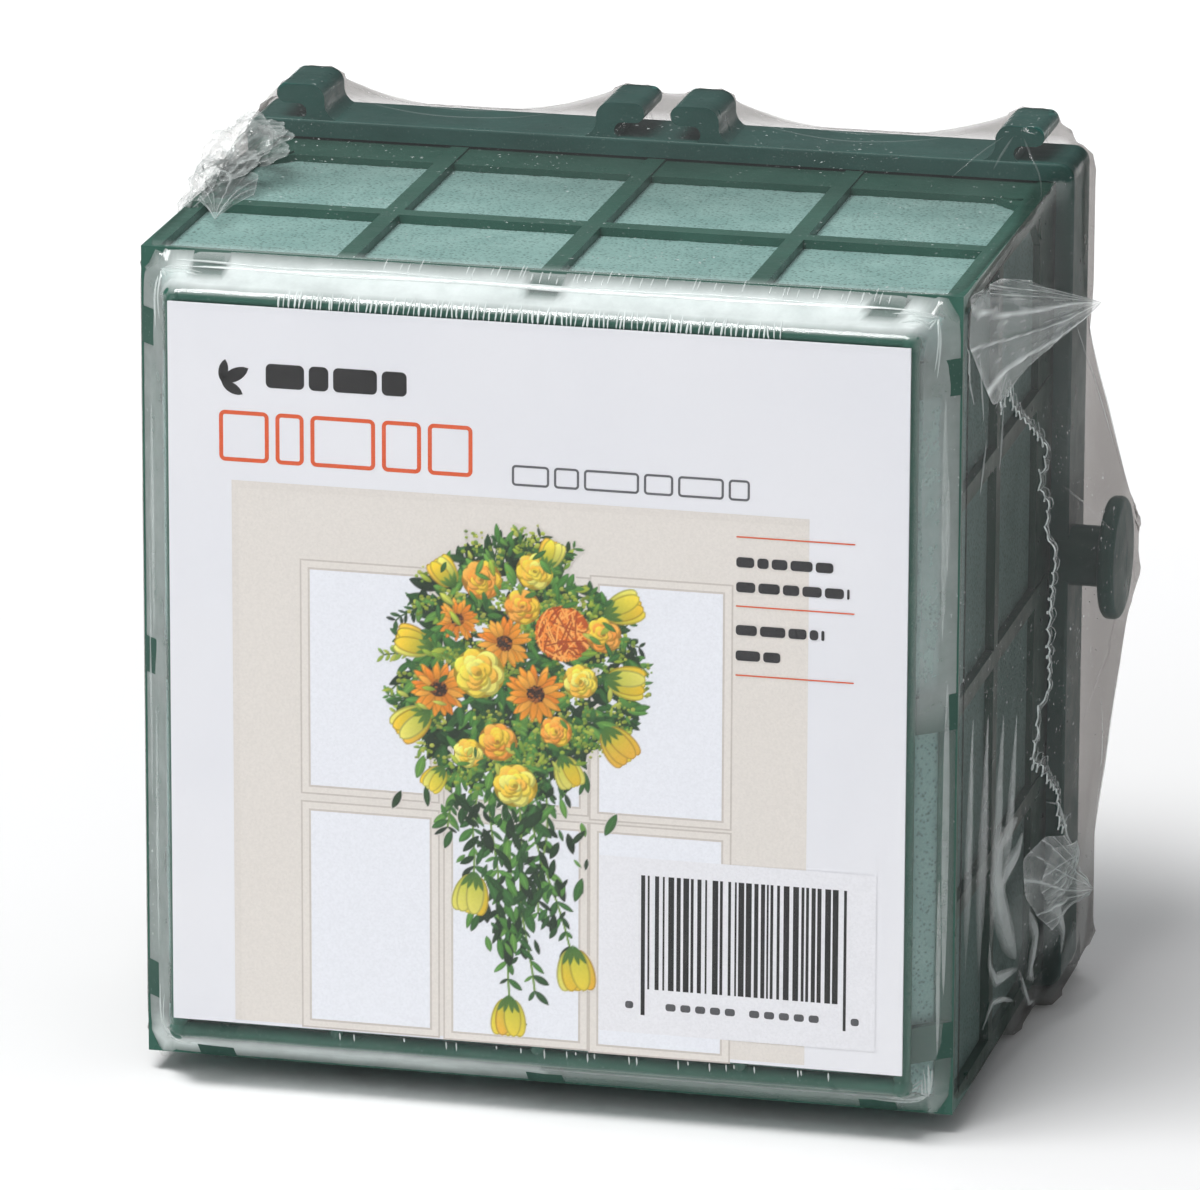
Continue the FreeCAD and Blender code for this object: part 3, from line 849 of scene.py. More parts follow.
def hook_distance(points, x):
    """The hook with its middle at x, filled in below its curl down to the cage."""
    height = HOOK_TOP - RIM_TOP + RIM_OVERHANG
    middle, half = [x, HOOK_TOP - height / 2], [HOOK_W / 2, height / 2]
    return tray_piece(points, middle, half, 1.9 * MM, RIM_DEPTH - 0.8 * MM, 0.3 * MM)


def button_distance(points, sign):
    """The button's head, carried inwards to the cage: the film can't get behind it."""
    out = np.hypot(points[:, 1] - BUTTON_Y, points[:, 2] - BUTTON_Z)
    half = (BUTTON_END - CAGE_HALF_W) / 2
    return plate(out - BUTTON_R, points[:, 0] - sign * (CAGE_HALF_W + half), half, 1.0 * MM)


def solid_behind(low, high, r):
    """A function for the distance to a box in front of the cage, carried back into the cage."""
    high = np.array([high[0], CAGE_FRONT + 4 * MM, high[2]])
    return lambda points: rounded_box(points, (low + high) / 2, (high - low) / 2, r)


# air that holds the film off low on the right: the middle and half size of each pocket
POCKETS = [
    ([RIM_HALF_W, BACK_Y - 9 * MM, RIM_BASE + 17 * MM], [3.0 * MM, 7.5 * MM, 13 * MM]),
    ([RIM_HALF_W - 3 * MM, BACK_Y - 13 * MM, 5.0 * MM], [4.2 * MM, 10 * MM, 4.6 * MM]),
    ([CAGE_HALF_W - 2 * MM, BACK_Y - 30 * MM, 4.6 * MM], [3.4 * MM, 8 * MM, 4.2 * MM]),
]


def obstacles():
    """The distances to everything the film touches, each a function of points."""
    cage_mid = [0, (CAGE_FRONT + BACK_Y) / 2, MID_Z]
    cage_half = [CAGE_HALF_W, (BACK_Y - CAGE_FRONT) / 2, (CAGE_TOP - CAGE_BASE) / 2]
    return [
        lambda p: rounded_box(p, cage_mid, cage_half, 0.4 * MM),
        solid_behind(grille_low + 0.3 * MM, grille_high, 1.3 * MM),
        solid_behind(card_low, card_high, 0.3 * MM),
        rim_distance,
        *(lambda p, x=x: hook_distance(p, x) for mid in HOOK_MIDS for x in (mid, -mid)),
        lambda p: button_distance(p, 1),
        lambda p: button_distance(p, -1),
        *(lambda p, place=place: rounded_box(p, *place, 2.4 * MM) for place in POCKETS),
    ]


SHAPES = obstacles()
FILM_ROOM = 0.2 * MM
FILM_CLEAR = 0.1 * MM
FILM_ROUNDS = 120
CLEAR_ROUNDS = 8
INWARD_PULL = 0.7
SIDE_PULL = 0.12


def push_out(points, room):
    """Moves the points that are nearer than room to anything straight away from it."""
    step = 0.01 * MM
    for shape in SHAPES:
        distance = shape(points)
        near = np.flatnonzero(distance < room)
        if not near.size:
            continue
        here = points[near]
        slope = np.stack([shape(here + step * np.eye(3)[axis]) - distance[near] for axis in range(3)], 1)
        points[near] += unit(slope) * (room - distance[near])[:, None]
    np.maximum(points[:, 2], 0.1 * MM, out=points[:, 2])


def first_bag(share):
    """A loose first shape: over the body's edges, and tents over the hooks and buttons."""
    stops = [card_low[1], CAGE_FRONT, RIM_FRONT, BACK_Y]
    y = np.interp(share[:, 1], [0, 0.06, 0.82, 1], stops)
    inset_w = CAGE_HALF_W - grille_high[0]
    inset_h = CAGE_TOP - grille_high[2]
    half_w = np.interp(y, stops, [CAGE_HALF_W - inset_w, CAGE_HALF_W, RIM_HALF_W, RIM_HALF_W])
    half_h = (CAGE_TOP - CAGE_BASE) / 2
    half_h = np.interp(y, stops, [half_h - inset_h, half_h, half_h + RIM_OVERHANG, half_h + RIM_OVERHANG])
    x = (2 * share[:, 0] - 1) * half_w
    z = MID_Z + (2 * share[:, 2] - 1) * half_h
    reach = np.where(z > BUTTON_Z, 40 * MM, 74 * MM)
    beside = np.hypot((y - BUTTON_Y) / (56 * MM), (z - BUTTON_Z) / reach)
    pulled = np.clip((1 - beside) / (1 - BUTTON_R / reach), 0, 1)
    pulled *= smoothstep(0.8, 1, np.abs(2 * share[:, 0] - 1))
    x += np.sign(x) * pulled * (BUTTON_END + 0.6 * MM - half_w)
    to_hook = np.min([np.abs(np.abs(x) - mid) for mid in HOOK_MIDS], axis=0)
    lift = 1 - smoothstep(HOOK_W / 2 + 1 * MM, HOOK_W / 2 + 12 * MM, to_hook)
    lift = np.maximum(lift, 0.35 * (np.abs(x) < HOOK_OUTER_TIP))
    lift *= smoothstep(RIM_FRONT - 40 * MM, RIM_FRONT, y) * smoothstep(0.85, 1, share[:, 2])
    z += lift * (HOOK_TOP + 0.6 * MM - RIM_TOP)
    return np.stack([x, y, z], 1)


def film_bag():
    """A closed bag that shrinks like a stretched skin until the holder holds it out."""
    counts = np.array([124, 76, 116])
    lattice, quads = box_lattice(counts)
    points = first_bag(lattice / counts)
    push_out(points, FILM_ROOM)
    at_back = lattice[:, 1] == counts[1]
    points[at_back, 1] = BACK_Y + FILM_ROOM
    one, two = np.concatenate([quads[:, [0, 1]], quads[:, [1, 2]], quads[:, [2, 3]], quads[:, [3, 0]]]).T
    order = np.argsort(one, kind="stable")
    one, two = one[order], two[order]
    starts = np.searchsorted(one, np.arange(len(points)))
    degree = np.diff(np.append(starts, len(one)))[:, None]
    corner = np.argsort(quads.ravel(), kind="stable")
    corner_starts = np.searchsorted(quads.ravel()[corner], np.arange(len(points)))
    for turn in range(FILM_ROUNDS):
        if turn % 4 == 0:
            a, b, c, d = (points[quads[:, i]] for i in range(4))
            faces = np.repeat(np.cross(c - a, d - b), 4, axis=0)
            normal = unit(np.add.reduceat(faces[corner], corner_starts, axis=0), 1e-15)
        pull = np.add.reduceat(points[two], starts, axis=0) / degree - points
        inward = (pull * normal).sum(1, keepdims=True) * normal
        points += INWARD_PULL * inward + SIDE_PULL * (pull - inward)
        points[at_back, 1] = BACK_Y + FILM_ROOM
        push_out(points, FILM_ROOM)
    for _ in range(CLEAR_ROUNDS):
        clear_corners(points, quads)
    # no spikes at the front corners: close to the cage there, and freer towards the back
    slack = 0.6 * MM + np.maximum(points[:, 1] - CAGE_FRONT - 8 * MM, 0) * 0.25
    points[:, 0] = np.clip(points[:, 0], -CAGE_HALF_W - slack, CAGE_HALF_W + slack)
    points[:, 2] = np.minimum(points[:, 2], CAGE_TOP + slack)
    return points, quads


def clear_corners(points, quads):
    """Lifts the corners of each quad whose middle or edges cut through what the film covers."""
    for picked in ([0, 1, 2, 3], [0, 1], [1, 2], [2, 3], [3, 0]):
        middle = points[quads[:, picked]].mean(1)
        lifted = middle.copy()
        push_out(lifted, FILM_CLEAR)
        moved = lifted - middle
        low = np.flatnonzero(np.linalg.norm(moved, axis=1) > 0.005 * MM)
        for corner in picked:
            points[quads[low, corner]] += 0.6 * moved[low]


def film_looks(points, loose):
    """How white and how dark the film is at each point, painted reflections and painted shade included;
    loose is 1 where nothing is behind it.
    """
    x, y, z = points.T
    high_up = smoothstep(RIM_TOP - 1 * MM, RIM_TOP + 1.5 * MM, z)
    on_top = smoothstep(CAGE_TOP - 1 * MM, CAGE_TOP, z)
    on_side = smoothstep(CAGE_HALF_W - 1 * MM, CAGE_HALF_W, np.abs(x)) * (1 - high_up)
    front = smoothstep(CAGE_FRONT - 0.5 * MM, CAGE_FRONT - 2 * MM, y)
    off_card = smoothstep(card_high[1] + 0.2 * MM, card_high[1] + 1.5 * MM, y)

    # the milky band above the card, whitened partly as a painted reflection of the overhead light, clearer
    # over the straps and at its ends
    to_strap = np.min([np.abs(x - mid) for mid in (-STRAP_OFFSET, 0, STRAP_OFFSET)], axis=0)
    in_strap = smoothstep(3.4 * MM, 2 * MM, to_strap)
    in_strap *= smoothstep(card_high[2] + 2.4 * MM, card_high[2] + 3.8 * MM, z)
    at_end = smoothstep(CAGE_HALF_W - 6.5 * MM, CAGE_HALF_W - 3.5 * MM, np.abs(x))
    band = front * off_card * smoothstep(CAGE_TOP - 8 * MM, CAGE_TOP - 3 * MM, z)
    # the fainter ones beside and below the card, also partly painted reflection
    low_right = smoothstep(0, 1 * MM, x) * smoothstep(MID_Z + 2 * MM, MID_Z - 4 * MM, z)
    beside = smoothstep(CAGE_FRONT + 1.2 * MM, CAGE_FRONT, y) * off_card * (1 - band)
    beside *= 0.3 - 0.22 * low_right
    below = front * off_card * smoothstep(CAGE_BASE + 8 * MM, CAGE_BASE + 3 * MM, z)
    below *= 0.25 + 0.3 * smoothstep(10 * MM, -30 * MM, x)
    band = band * (1 - 0.9 * in_strap) * (1 - 0.65 * at_end)
    haze_and_glare = 0.003 + 0.005 * loose + 0.8 * band + beside + below
    haze_and_glare += (0.012 + 0.012 * high_up) * on_top * (1 - front)
    # patches where the loose film lies low on the right
    pool = smoothstep(-18 * MM, 4 * MM, y) * smoothstep(34 * MM, 20 * MM, z)
    pool *= smoothstep(58 * MM, 61 * MM, x)
    haze_and_glare += 0.15 * pool * smoothstep(-0.3, 0.35, wavy(points, 8 * MM, 5))

    # veil: the film's tint darkens what shows through it on top and towards the back; on the sides the
    # darkening is painted shade
    at_back = smoothstep(BACK_Y - 3 * MM, BACK_Y, y)
    veil_and_shade = high_up * (0.42 + 0.58 * at_back) + on_side * (0.85 + 0.15 * loose)
    veil_and_shade = np.clip(veil_and_shade, 0, 1) * (1 - front)
    return {"haze_and_glare": haze_and_glare, "veil_and_shade": veil_and_shade, "dust": 1 - smoothstep(CAGE_FRONT, CAGE_FRONT - 1 * MM, y)}


def film_wrap(material):
    """The shrunk film with fine ripples, and a tree to find the nearest place on it."""
    points, quads = film_bag()
    loose = smoothstep(0.25 * MM, 2.5 * MM, np.min([shape(points) for shape in SHAPES], axis=0))
    ripple = wavy(points, 9 * MM, 1) * 0.12 * MM + wavy(points, 3 * MM, 2) * 0.04 * MM
    points += unit(points - [0, 0, MID_Z]) * (ripple * (0.25 + loose))[:, None]
    push_out(points, FILM_ROOM * 0.7)
    piece = add_mesh("shrink_film", points, quads, material)
    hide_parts("film_wrap")
    for name, values in film_looks(points, loose).items():
        paint(piece, name, values)
    return BVHTree.FromPolygons(points.tolist(), quads.tolist())


# ---------------------------------------------------------------- film: folds, seam and knot
# the trims below take their places in millimetres in the CAD frame
class FilmTrim(Gathered):
    """Ridges, folds and flaps of film; haze says how white each point is: the film's own milkiness, with
    painted highlights on crests and folds.
    """

    def grid(self, points, haze_and_glare):
        """A sheet from rows of points; haze is one number or one for each point."""
        rows, columns = points.shape[:2]
        haze_and_glare = np.broadcast_to(haze_and_glare, (rows, columns)).ravel()
        self.take(points.reshape(-1, 3), grid_faces(rows, columns).tolist(), haze_and_glare)

    def piece(self, name, material):
        made = self.mesh(name, material)
        paint(made, "haze_and_glare", np.concatenate(self.values))
        for plain in ("veil_and_shade", "dust"):
            paint(made, plain, np.zeros(self.count))


def on_film(points):
    """The nearest places on the film, and its outward normals there."""
    found = [film_tree.find_nearest(Vector(p)) for p in points]
    return np.array([f[0] for f in found]), np.array([f[1] for f in found])


def smooth_path(stops, count):
    """Points evenly spread along a rounded path through the stops."""
    stops = np.asarray(stops, float)
    reach = np.append(0, np.cumsum(np.linalg.norm(np.diff(stops, axis=0), axis=1)))
    t = np.linspace(0, reach[-1], count * 6)
    path = np.stack([np.interp(t, reach, stops[:, axis]) for axis in range(3)], 1)
    kernel = np.hanning(max(count * 6 // (2 * len(stops)), 3) + 2)[1:-1]
    kernel /= kernel.sum()
    pad = len(kernel) // 2
    longer = np.pad(path, ((pad, len(kernel) - 1 - pad), (0, 0)), mode="edge")
    path = np.stack([np.convolve(longer[:, axis], kernel, "valid") for axis in range(3)], 1)
    return path[:: max(len(path) // count, 1)]


def ridge(trim, path, width, height, haze_and_glare, edge=1.0):
    """A fold that stands up from the film along a path; width and height may vary along it.

    The share edge of the haze is left at the fold's two sides, so that 0 fades them out.
    """
    place, normal = on_film(path)
    run = np.gradient(place, axis=0)
    aside = unit(np.cross(normal, run))
    width = np.broadcast_to(width, len(path))[:, None]
    height = np.broadcast_to(height, len(path))[:, None]
    rows = [
        place + aside * width * across / 2 + normal * (height * lift + 0.03 * MM)
        for across, lift in [(-1, 0), (-0.35, 0.8), (0.05, 1), (0.4, 0.7), (1, 0)]
    ]
    trim.grid(np.stack(rows, 1), np.broadcast_to(haze_and_glare, len(path))[:, None] * [edge, 1, 1, 1, edge])


def tapered(count, power=0.7):
    t = np.linspace(0, 1, count)
    return np.maximum(4 * t * (1 - t), 0.002) ** power


def fold(trim, stops, count, width, height, haze_and_glare, fade=0, edge=1.0):
    """A ridge through the stops that tapers to both ends; fade says how fast its haze does too.

    Stops, width and height are in millimetres.
    """
    path = smooth_path(np.array(stops, float) * MM, count)
    taper = tapered(len(path)) * MM
    ridge(trim, path, width * taper, height * taper, haze_and_glare * tapered(len(path), fade), edge)


def gathered_edge(trim):
    """The comb of fine gathers where the film bends over the card's edges, whitened as painted glints."""
    middle = (card_low[0] + card_high[0]) / 2
    edge = card_high[2]
    for x in np.arange(-38, 36, 0.8):
        x = middle + (x + rng.normal(0, 0.15)) * MM
        length = rng.uniform(1.0, 2.5) * MM
        slant = rng.normal(0, 0.12)
        t = np.linspace(0, 1, 6) * length
        path = np.stack([x + slant * t, card_low[1] + 0.2 * MM + 0.9 * t, edge + t], 1)
        ridge(trim, path, rng.uniform(0.18, 0.36) * MM * tapered(6, 0.4), 0.12 * MM * tapered(6), 0.8)
    # above it, where the film leaves the border, and below the card
    for x in np.arange(-24, 50, 1.1):
        if rng.random() < 0.7:
            x = middle + (x + rng.normal(0, 0.3)) * MM
            t = np.linspace(0, 1, 6) * rng.uniform(1.0, 2.6) * MM
            start = edge + rng.uniform(3.6, 5.0) * MM
            path = np.stack([x + 0.1 * t, CAGE_FRONT - 1.2 * MM + 0.7 * t, start + t], 1)
            ridge(trim, path, 0.24 * MM * tapered(6, 0.5), 0.08 * MM * tapered(6), 0.55)
    for x in np.arange(-30, 44, 1.5):
        if rng.random() < 0.5:
            x = middle + (x + rng.normal(0, 0.3)) * MM
            t = np.linspace(0, 1, 5) * rng.uniform(0.7, 1.6) * MM
            path = np.stack([x + 0 * t, card_low[1] + 0.1 * MM + 0 * t, card_low[2] - 0.3 * MM - t], 1)
            ridge(trim, path, 0.26 * MM * tapered(5, 0.5), 0.1 * MM * tapered(5), 0.6)


def scalloped_seam(trim):
    """The ragged sealed seam that runs down the film's right side."""
    stops = np.array([
        (-15, 105), (-10, 105), (-4, 102), (2, 97), (5, 93), (2, 88), (2, 80), (2, 70), (2, 62),
        (0, 56), (-3, 50), (2, 43), (9, 39), (15, 31),
    ]) * MM
    path = smooth_path(np.stack([np.full(len(stops), 66 * MM), stops[:, 0], stops[:, 1]], 1), 340)
    run = unit(np.gradient(path, axis=0))
    aside = np.cross(run, [1, 0, 0])
    reach = np.append(0, np.cumsum(np.linalg.norm(np.diff(path, axis=0), axis=1)))
    # scallops of uneven length and size, on a line that wanders
    phase = np.cumsum(0.6 + 0.8 * np.abs(np.sin(reach / (4.1 * MM))) + rng.uniform(0, 0.4, len(path)))
    phase *= reach[-1] / (2.1 * MM) * math.pi / phase[-1]
    size = (0.3 + 0.7 * np.abs(np.sin(reach / (7.3 * MM) + 1)))[:, None] * 1.7 * MM
    wander = 1.1 * MM * np.sin(reach / (1.9 * MM) + 2.2 * np.sin(reach / (5.3 * MM)))
    path = path + aside * wander[:, None]
    phase = phase[:, None]
    path = path + aside * np.abs(np.sin(phase)) * size + run * np.sin(2 * phase) * size * 0.4
    glint = 0.45 + 0.5 * np.abs(np.sin(1.7 * phase[:, 0] + 1))
    ridge(trim, path, 0.18 * MM, 0.22 * MM, glint)
    # the lace inside them, and the band that they edge
    lace = path - aside * (0.5 * MM + np.abs(np.cos(0.8 * phase)) * size)
    ridge(trim, lace, 0.12 * MM, 0.15 * MM, 0.4 * glint)
    ridge(trim, (path - aside * 0.7 * MM)[::2], 1.2 * MM, 0.12 * MM, 0.07)


def flap(trim, tip, rim, pleats, depth, haze_and_glare, seed):
    """A loose ear of film: folds that run out of its tip to the rim, a line of points."""
    tip = np.array(tip) * MM
    rim = np.array(rim, float) * MM
    rows, columns = 90, 44
    base = smooth_path(rim, rows)[:rows]
    base[0], base[-1] = rim[0], rim[-1]
    rows = len(base)
    u = np.linspace(0, 1, rows)[:, None]
    v = np.linspace(0, 1, columns)[None, :]
    bow = (1 - 0.12 * np.sin(v * math.pi) * (1 - np.sin(u * math.pi)))[..., None]
    sheet = tip + (base[:, None] - tip) * (v[..., None] * bow)
    phase = u * pleats * math.pi + 0.9 * np.sin(u * 7.3 + seed) + 0.5 * np.sin(v * 5 + seed + 9 * u)
    pleat = 1 - np.abs(np.sin(phase)) ** 0.7
    small = 1 - np.abs(np.sin(phase * 2.7 + v * 3 + seed)) ** 0.6
    lumps = wavy(sheet.reshape(-1, 3), 5 * MM, seed).reshape(pleat.shape)
    inside = smoothstep(0, 0.1, np.minimum(u, 1 - u)) * smoothstep(1, 0.9, v)
    swell = np.sin(np.clip(v, 0, 1) * math.pi) ** 0.8
    lift = depth * MM * swell * (0.9 * pleat + 0.35 * small + 0.8 * np.abs(lumps)) * (0.2 + 0.8 * inside)
    place, normal = on_film(sheet.reshape(-1, 3))
    place, normal = place.reshape(sheet.shape), normal.reshape(sheet.shape)
    height = ((sheet - place) * normal).sum(-1)
    wanted = np.maximum(height * (1 - v**2), (0.1 + 0.35 * depth * swell) * MM) + lift
    sheet = place + (sheet - place - normal * height[..., None]) + normal * wanted[..., None]
    # whiter on the crests of the pleats and along the edges: painted highlights; whiter also near the tip
    near_tip = 1 - smoothstep(0.08, 0.5, v)
    rim_line = smoothstep(0.965, 1, v) + smoothstep(0.02, 0, np.minimum(u, 1 - u))
    crest = smoothstep(0.55, 1, pleat) + 0.4 * smoothstep(0.6, 1, small)
    white = haze_and_glare * (0.35 + 0.5 * np.abs(lumps)) + haze_and_glare * 1.3 * crest + 0.3 * near_tip * (0.4 + crest)
    trim.grid(sheet, np.clip(white + 0.16 * rim_line, 0, 0.9))


def dog_ears(trim):
    """The film's loose ears on the right, near the top and near the bottom, and their creases."""
    upper = [
        (62.3, 5, 117.8), (61.6, -12, 122.4), (60.8, -33, 125), (60.7, -36, 119.6), (61.1, -27, 112),
        (61.2, -18.5, 105), (61.9, -10, 104.2),
    ]
    lower = [
        (63.9, 17, 30), (62.8, 6, 33), (62.3, -3, 32), (62.4, 0, 25), (62.6, 7, 20), (63.4, 16, 15),
    ]
    inner = [(63.4, 10, 30), (63, 6, 25), (63.2, 12, 20), (64.2, 20, 20)]
    flap(trim, (70.1, 19, 111.4), upper, 7, 0.9, 0.46, 3)
    flap(trim, (69.2, 26, 18.4), lower, 7, 1.2, 0.3, 5)
    flap(trim, (66.0, 22, 27.5), inner, 6, 1.1, 0.32, 9)
    # bright bends of the loose film low down, their brightness a painted highlight, each from its places
    # across Y and Z and its width
    for stops, width in [
        ([(-6.5, 39.4), (-13.5, 37), (-14, 32), (-12, 27), (-7, 21), (-0.5, 15)], 6.5),
        ([(-4, 36.5), (-6, 33.5), (-11, 31.5), (-14, 28)], 4.16),
        ([(-16.5, 23.4), (-16, 19), (-12, 15.6), (0.6, 13.3)], 2.34),
        ([(-19, 9.8), (-13.7, 12.6), (-6, 10.6), (2, 7.4)], 1.17),
        ([(0.6, 13.3), (5, 9), (10, 4.6), (15, 3.6)], 1.3),
        ([(11, 20), (17, 18), (22, 13), (22.5, 8.4)], 2.86),
        ([(4, 39), (10, 37), (15.4, 30.6), (22, 26)], 0.65),
        ([(2, 22), (7, 17), (7, 11), (11, 8)], 3.38),
    ]:
        fold(trim, [(64, y, z) for y, z in stops], 44, width, 0.5, 0.4, 0.5, 0)
    # creases that fan out from the upper ear
    for y, z, dy, dz in [
        (-30, 108, -8, 11), (-24, 104, -3, 11), (-17, 104, 9, 5), (-22, 101, -4, -8), (-12, 103, -3, -9)
    ]:
        stops = [(64, y, z), (64, y + dy * 0.5, z + dz * 0.45), (64, y + dy, z + dz)]
        fold(trim, stops, 24, 0.5, 0.2, 0.35)
    # faint creases over the loose side, up to the button
    for stops, width in [
        ([(40, 104), (41, 92), (38, 80)], 0.4), ([(33, 50), (36, 36), (40, 22)], 0.5),
        ([(28, 108), (33, 98), (35, 84)], 0.35), ([(24, 49), (30, 40), (34, 26)], 0.35),
    ]:
        fold(trim, [(72, y, z) for y, z in stops], 30, width, 0.12, 0.3)


def light_streaks(trim):
    """Long taut folds that rise from the lower front corner of the right side, whitened towards the top as
    painted highlights.
    """
    x = CAGE_HALF_W + 2 * MM
    for top, foot, width in [
        ((-28.5, 62.5), (-30.5, 20), 8.5), ((-21, 60.6), (-22, 16), 9.5),
        ((-14.6, 58.8), (-15.2, 18), 7.5), ((-9.4, 57.2), (-10, 25), 5.5),
    ]:
        path = smooth_path([(x, y * MM, z * MM) for y, z in (foot, top)], 40)
        t = np.linspace(0, 1, len(path))
        shape = np.maximum(smoothstep(0, 0.45, t) * (1 - t) ** 0.75, 0.01)
        haze_and_glare = 0.02 + 0.26 * smoothstep(0, 0.5, t)
        ridge(trim, path, width * MM * shape, 0.35 * MM * shape, haze_and_glare, 0)
    # soft creases down the film over the front corners, both sides of the card
    front = CAGE_FRONT / MM
    for x, z0, z1, width in [
        (57.6, 112, 74, 1.0), (59.0, 70, 20, 1.2), (57.4, 40, 12, 0.8), (-58.2, 104, 66, 0.9),
        (-57.2, 58, 18, 1.1), (58.6, 100, 84, 0.7), (-59.4, 84, 40, 0.6),
    ]:
        fold(trim, [(x, front - 1, z0), (x, front - 1, z1)], 30, width, 0.12, 0.3)
    # long ridges along the top front edge
    t = np.linspace(0, 1, 60)
    for x0, x1, dz, width in [
        (-52, 50, 3.1, 0.8), (-40, 22, 2.3, 0.5), (-10, 54, 3.8, 0.6), (-55, -12, 4.4, 0.5),
    ]:
        rise = dz + 0.35 * np.sin(9 * t + x0)
        path = np.stack([x0 + (x1 - x0) * t, 0 * t + front - 1.5, card_high[2] / MM + rise], 1) * MM
        ridge(trim, path, width * MM * tapered(60, 0.3), 0.14 * MM * tapered(60, 0.3), 0.6)


def crumpled_lump(trim, heart, radii, seed, haze_and_glare):
    """A ball of crushed film: sharp creases between small flat faces."""
    rows, columns = 66, 96
    up = np.linspace(0.001, math.pi - 0.001, rows)[:, None]
    round_ = np.linspace(0, 2 * math.pi, columns)[None, :]
    way = np.stack([np.sin(up) * np.cos(round_), np.sin(up) * np.sin(round_), np.cos(up) + 0 * round_], -1)
    flat = unit(way.reshape(-1, 3))
    bulk = wavy(flat, 0.9, seed)
    crease = 1 - 2.4 * np.abs(wavy(flat + 0.35 * bulk[:, None], 0.62, seed + 1))
    sharp = 1 - 2.4 * np.abs(wavy(flat + 0.3 * crease[:, None], 0.34, seed + 2))
    far = 0.78 + 0.45 * bulk + 0.3 * crease + 0.1 * sharp
    place = np.array(heart) * MM + flat * np.array(radii) * MM * far[:, None]
    near, normal = on_film(place)
    height = ((place - near) * normal).sum(1)
    low = (0.15 + 0.5 * np.maximum(crease, 0)) * MM
    place += normal * np.where(height < low, low - height, 0)[:, None]
    # whiter along the creases and the sharp ridges: painted highlights
    white = haze_and_glare * (0.25 + 1.5 * smoothstep(0.55, 1, crease) + 0.9 * smoothstep(0.7, 1, sharp))
    trim.grid(place.reshape(rows, columns, 3), np.clip(white, 0, 0.85).reshape(rows, columns))


def crumpled_knot(trim):
    """The gathered end of the film's tube, crushed against the upper left edge."""
    for seed, heart, radii, haze_and_glare in [
        (21, (-58.4, 11.5, 126.6), (6.0, 7.4, 6.0), 0.11),
        (31, (-59.6, 3, 124.2), (5.0, 7.5, 5.6), 0.14),
        (41, (-57.0, 8, 125.6), (5.2, 9.0, 3.2), 0.11),
        (51, (-59.6, -7, 121.6), (2.6, 7.0, 4.2), 0.16),
    ]:
        crumpled_lump(trim, heart, radii, seed, haze_and_glare)
    # the tail that lies on the top towards the front
    tail = [
        (-51, -9, 124.4), (-52.5, 0, 124.6), (-56, 3, 125), (-59.5, 1, 124.6), (-60.4, -8, 124),
    ]
    flap(trim, (-53.5, -22, 124.4), tail, 6, 0.8, 0.24, 13)
    for start, end in [
        ((-61, -6, 119), (-61, -20, 112)), ((-62, 4, 117), (-61.5, -4, 104)),
        ((-62, 12, 118), (-63, 14, 100)),
    ]:
        shift = rng.normal(0, 0.1, 3)
        fold(trim, [start + shift, end + shift], 26, 0.5, 0.2, 0.14, 0, 0)


def corner_folds(trim):
    """Small gathers where the film turns over the holder's front corners."""
    for side in (-1, 1):
        for up, z in ((1, CAGE_TOP - 2.6 * MM), (-1, CAGE_BASE + 2.6 * MM)):
            corner = np.array([side * (CAGE_HALF_W - 3 * MM), CAGE_FRONT - 1.2 * MM, z]) / MM
            for _ in range(9):
                way = unit(np.array([-side * rng.uniform(0.1, 1), 0, -up * rng.uniform(0.1, 1)]))
                length = rng.uniform(3, 9)
                start = corner + way * rng.uniform(0, 1.5)
                fold(trim, [start, start + way * length], 14, rng.uniform(0.25, 0.6), 0.16, 0.45)


def tent_creases(trim):
    """Faint creases that the hooks and buttons pull into the film."""
    creases = []
    for x in (-55, -5.7, 5.7, 55):
        for spread in (-3, -0.6, 2.4):
            far = rng.uniform(10, 20)
            start = x + spread * 0.5
            if x == 55:
                creases.append([(start, 29, 133), (start + spread * 1.6, 29 - far, 127 - far * 0.1)])
            creases.append([(start, 45, 131), (start + spread * 3, 45, rng.uniform(100, 116))])
    for x0, x1 in [(-50, -12), (12, 50)]:
        for y in (31.5, 36.5, 41):
            creases.append([(x0, y, 133), ((x0 + x1) / 2, y - 1, 130.6), (x1, y, 133)])
    y_mid, z_mid = 35.4, BUTTON_Z / MM
    for side in (-1, 1):
        for turn in (0.5, 2.3, 3.2, 4.0, 5.6):
            turn += rng.normal(0, 0.1)
            near, far = rng.uniform(11, 17), rng.uniform(22, 42)
            creases.append([
                (side * x, min(y_mid + r * math.sin(turn), 46), z_mid + r * math.cos(turn))
                for x, r in ((71, near), (65, far))
            ])
    for stops in creases:
        fold(trim, stops, 34, rng.uniform(0.35, 0.9), 0.13, 0.09, 0.5, 0)


def film_details(material):
    for name, makers in {
        "film_gathers": (gathered_edge, corner_folds),
        "film_seam": (scalloped_seam,),
        "film_ears": (dog_ears, light_streaks),
        "film_knot": (crumpled_knot,),
        "film_creases": (tent_creases,),
    }.items():
        trim = FilmTrim()
        for maker in makers:
            maker(trim)
        trim.piece(name, material)


# ---------------------------------------------------------------- studio
CAMERA_YAW = math.radians(13.291)
CAMERA_PITCH = math.radians(16.451)
CAMERA_ROLL = math.radians(0.202)
CAMERA_DISTANCE = 1.4791
CAMERA_AIM = Vector((0.0, -0.0024, 0.0632))
CAMERA_LEFT = 0.0004
CAMERA_UP = 0.00427
LENS_MM = 300.0
SENSOR_MM = 36.0


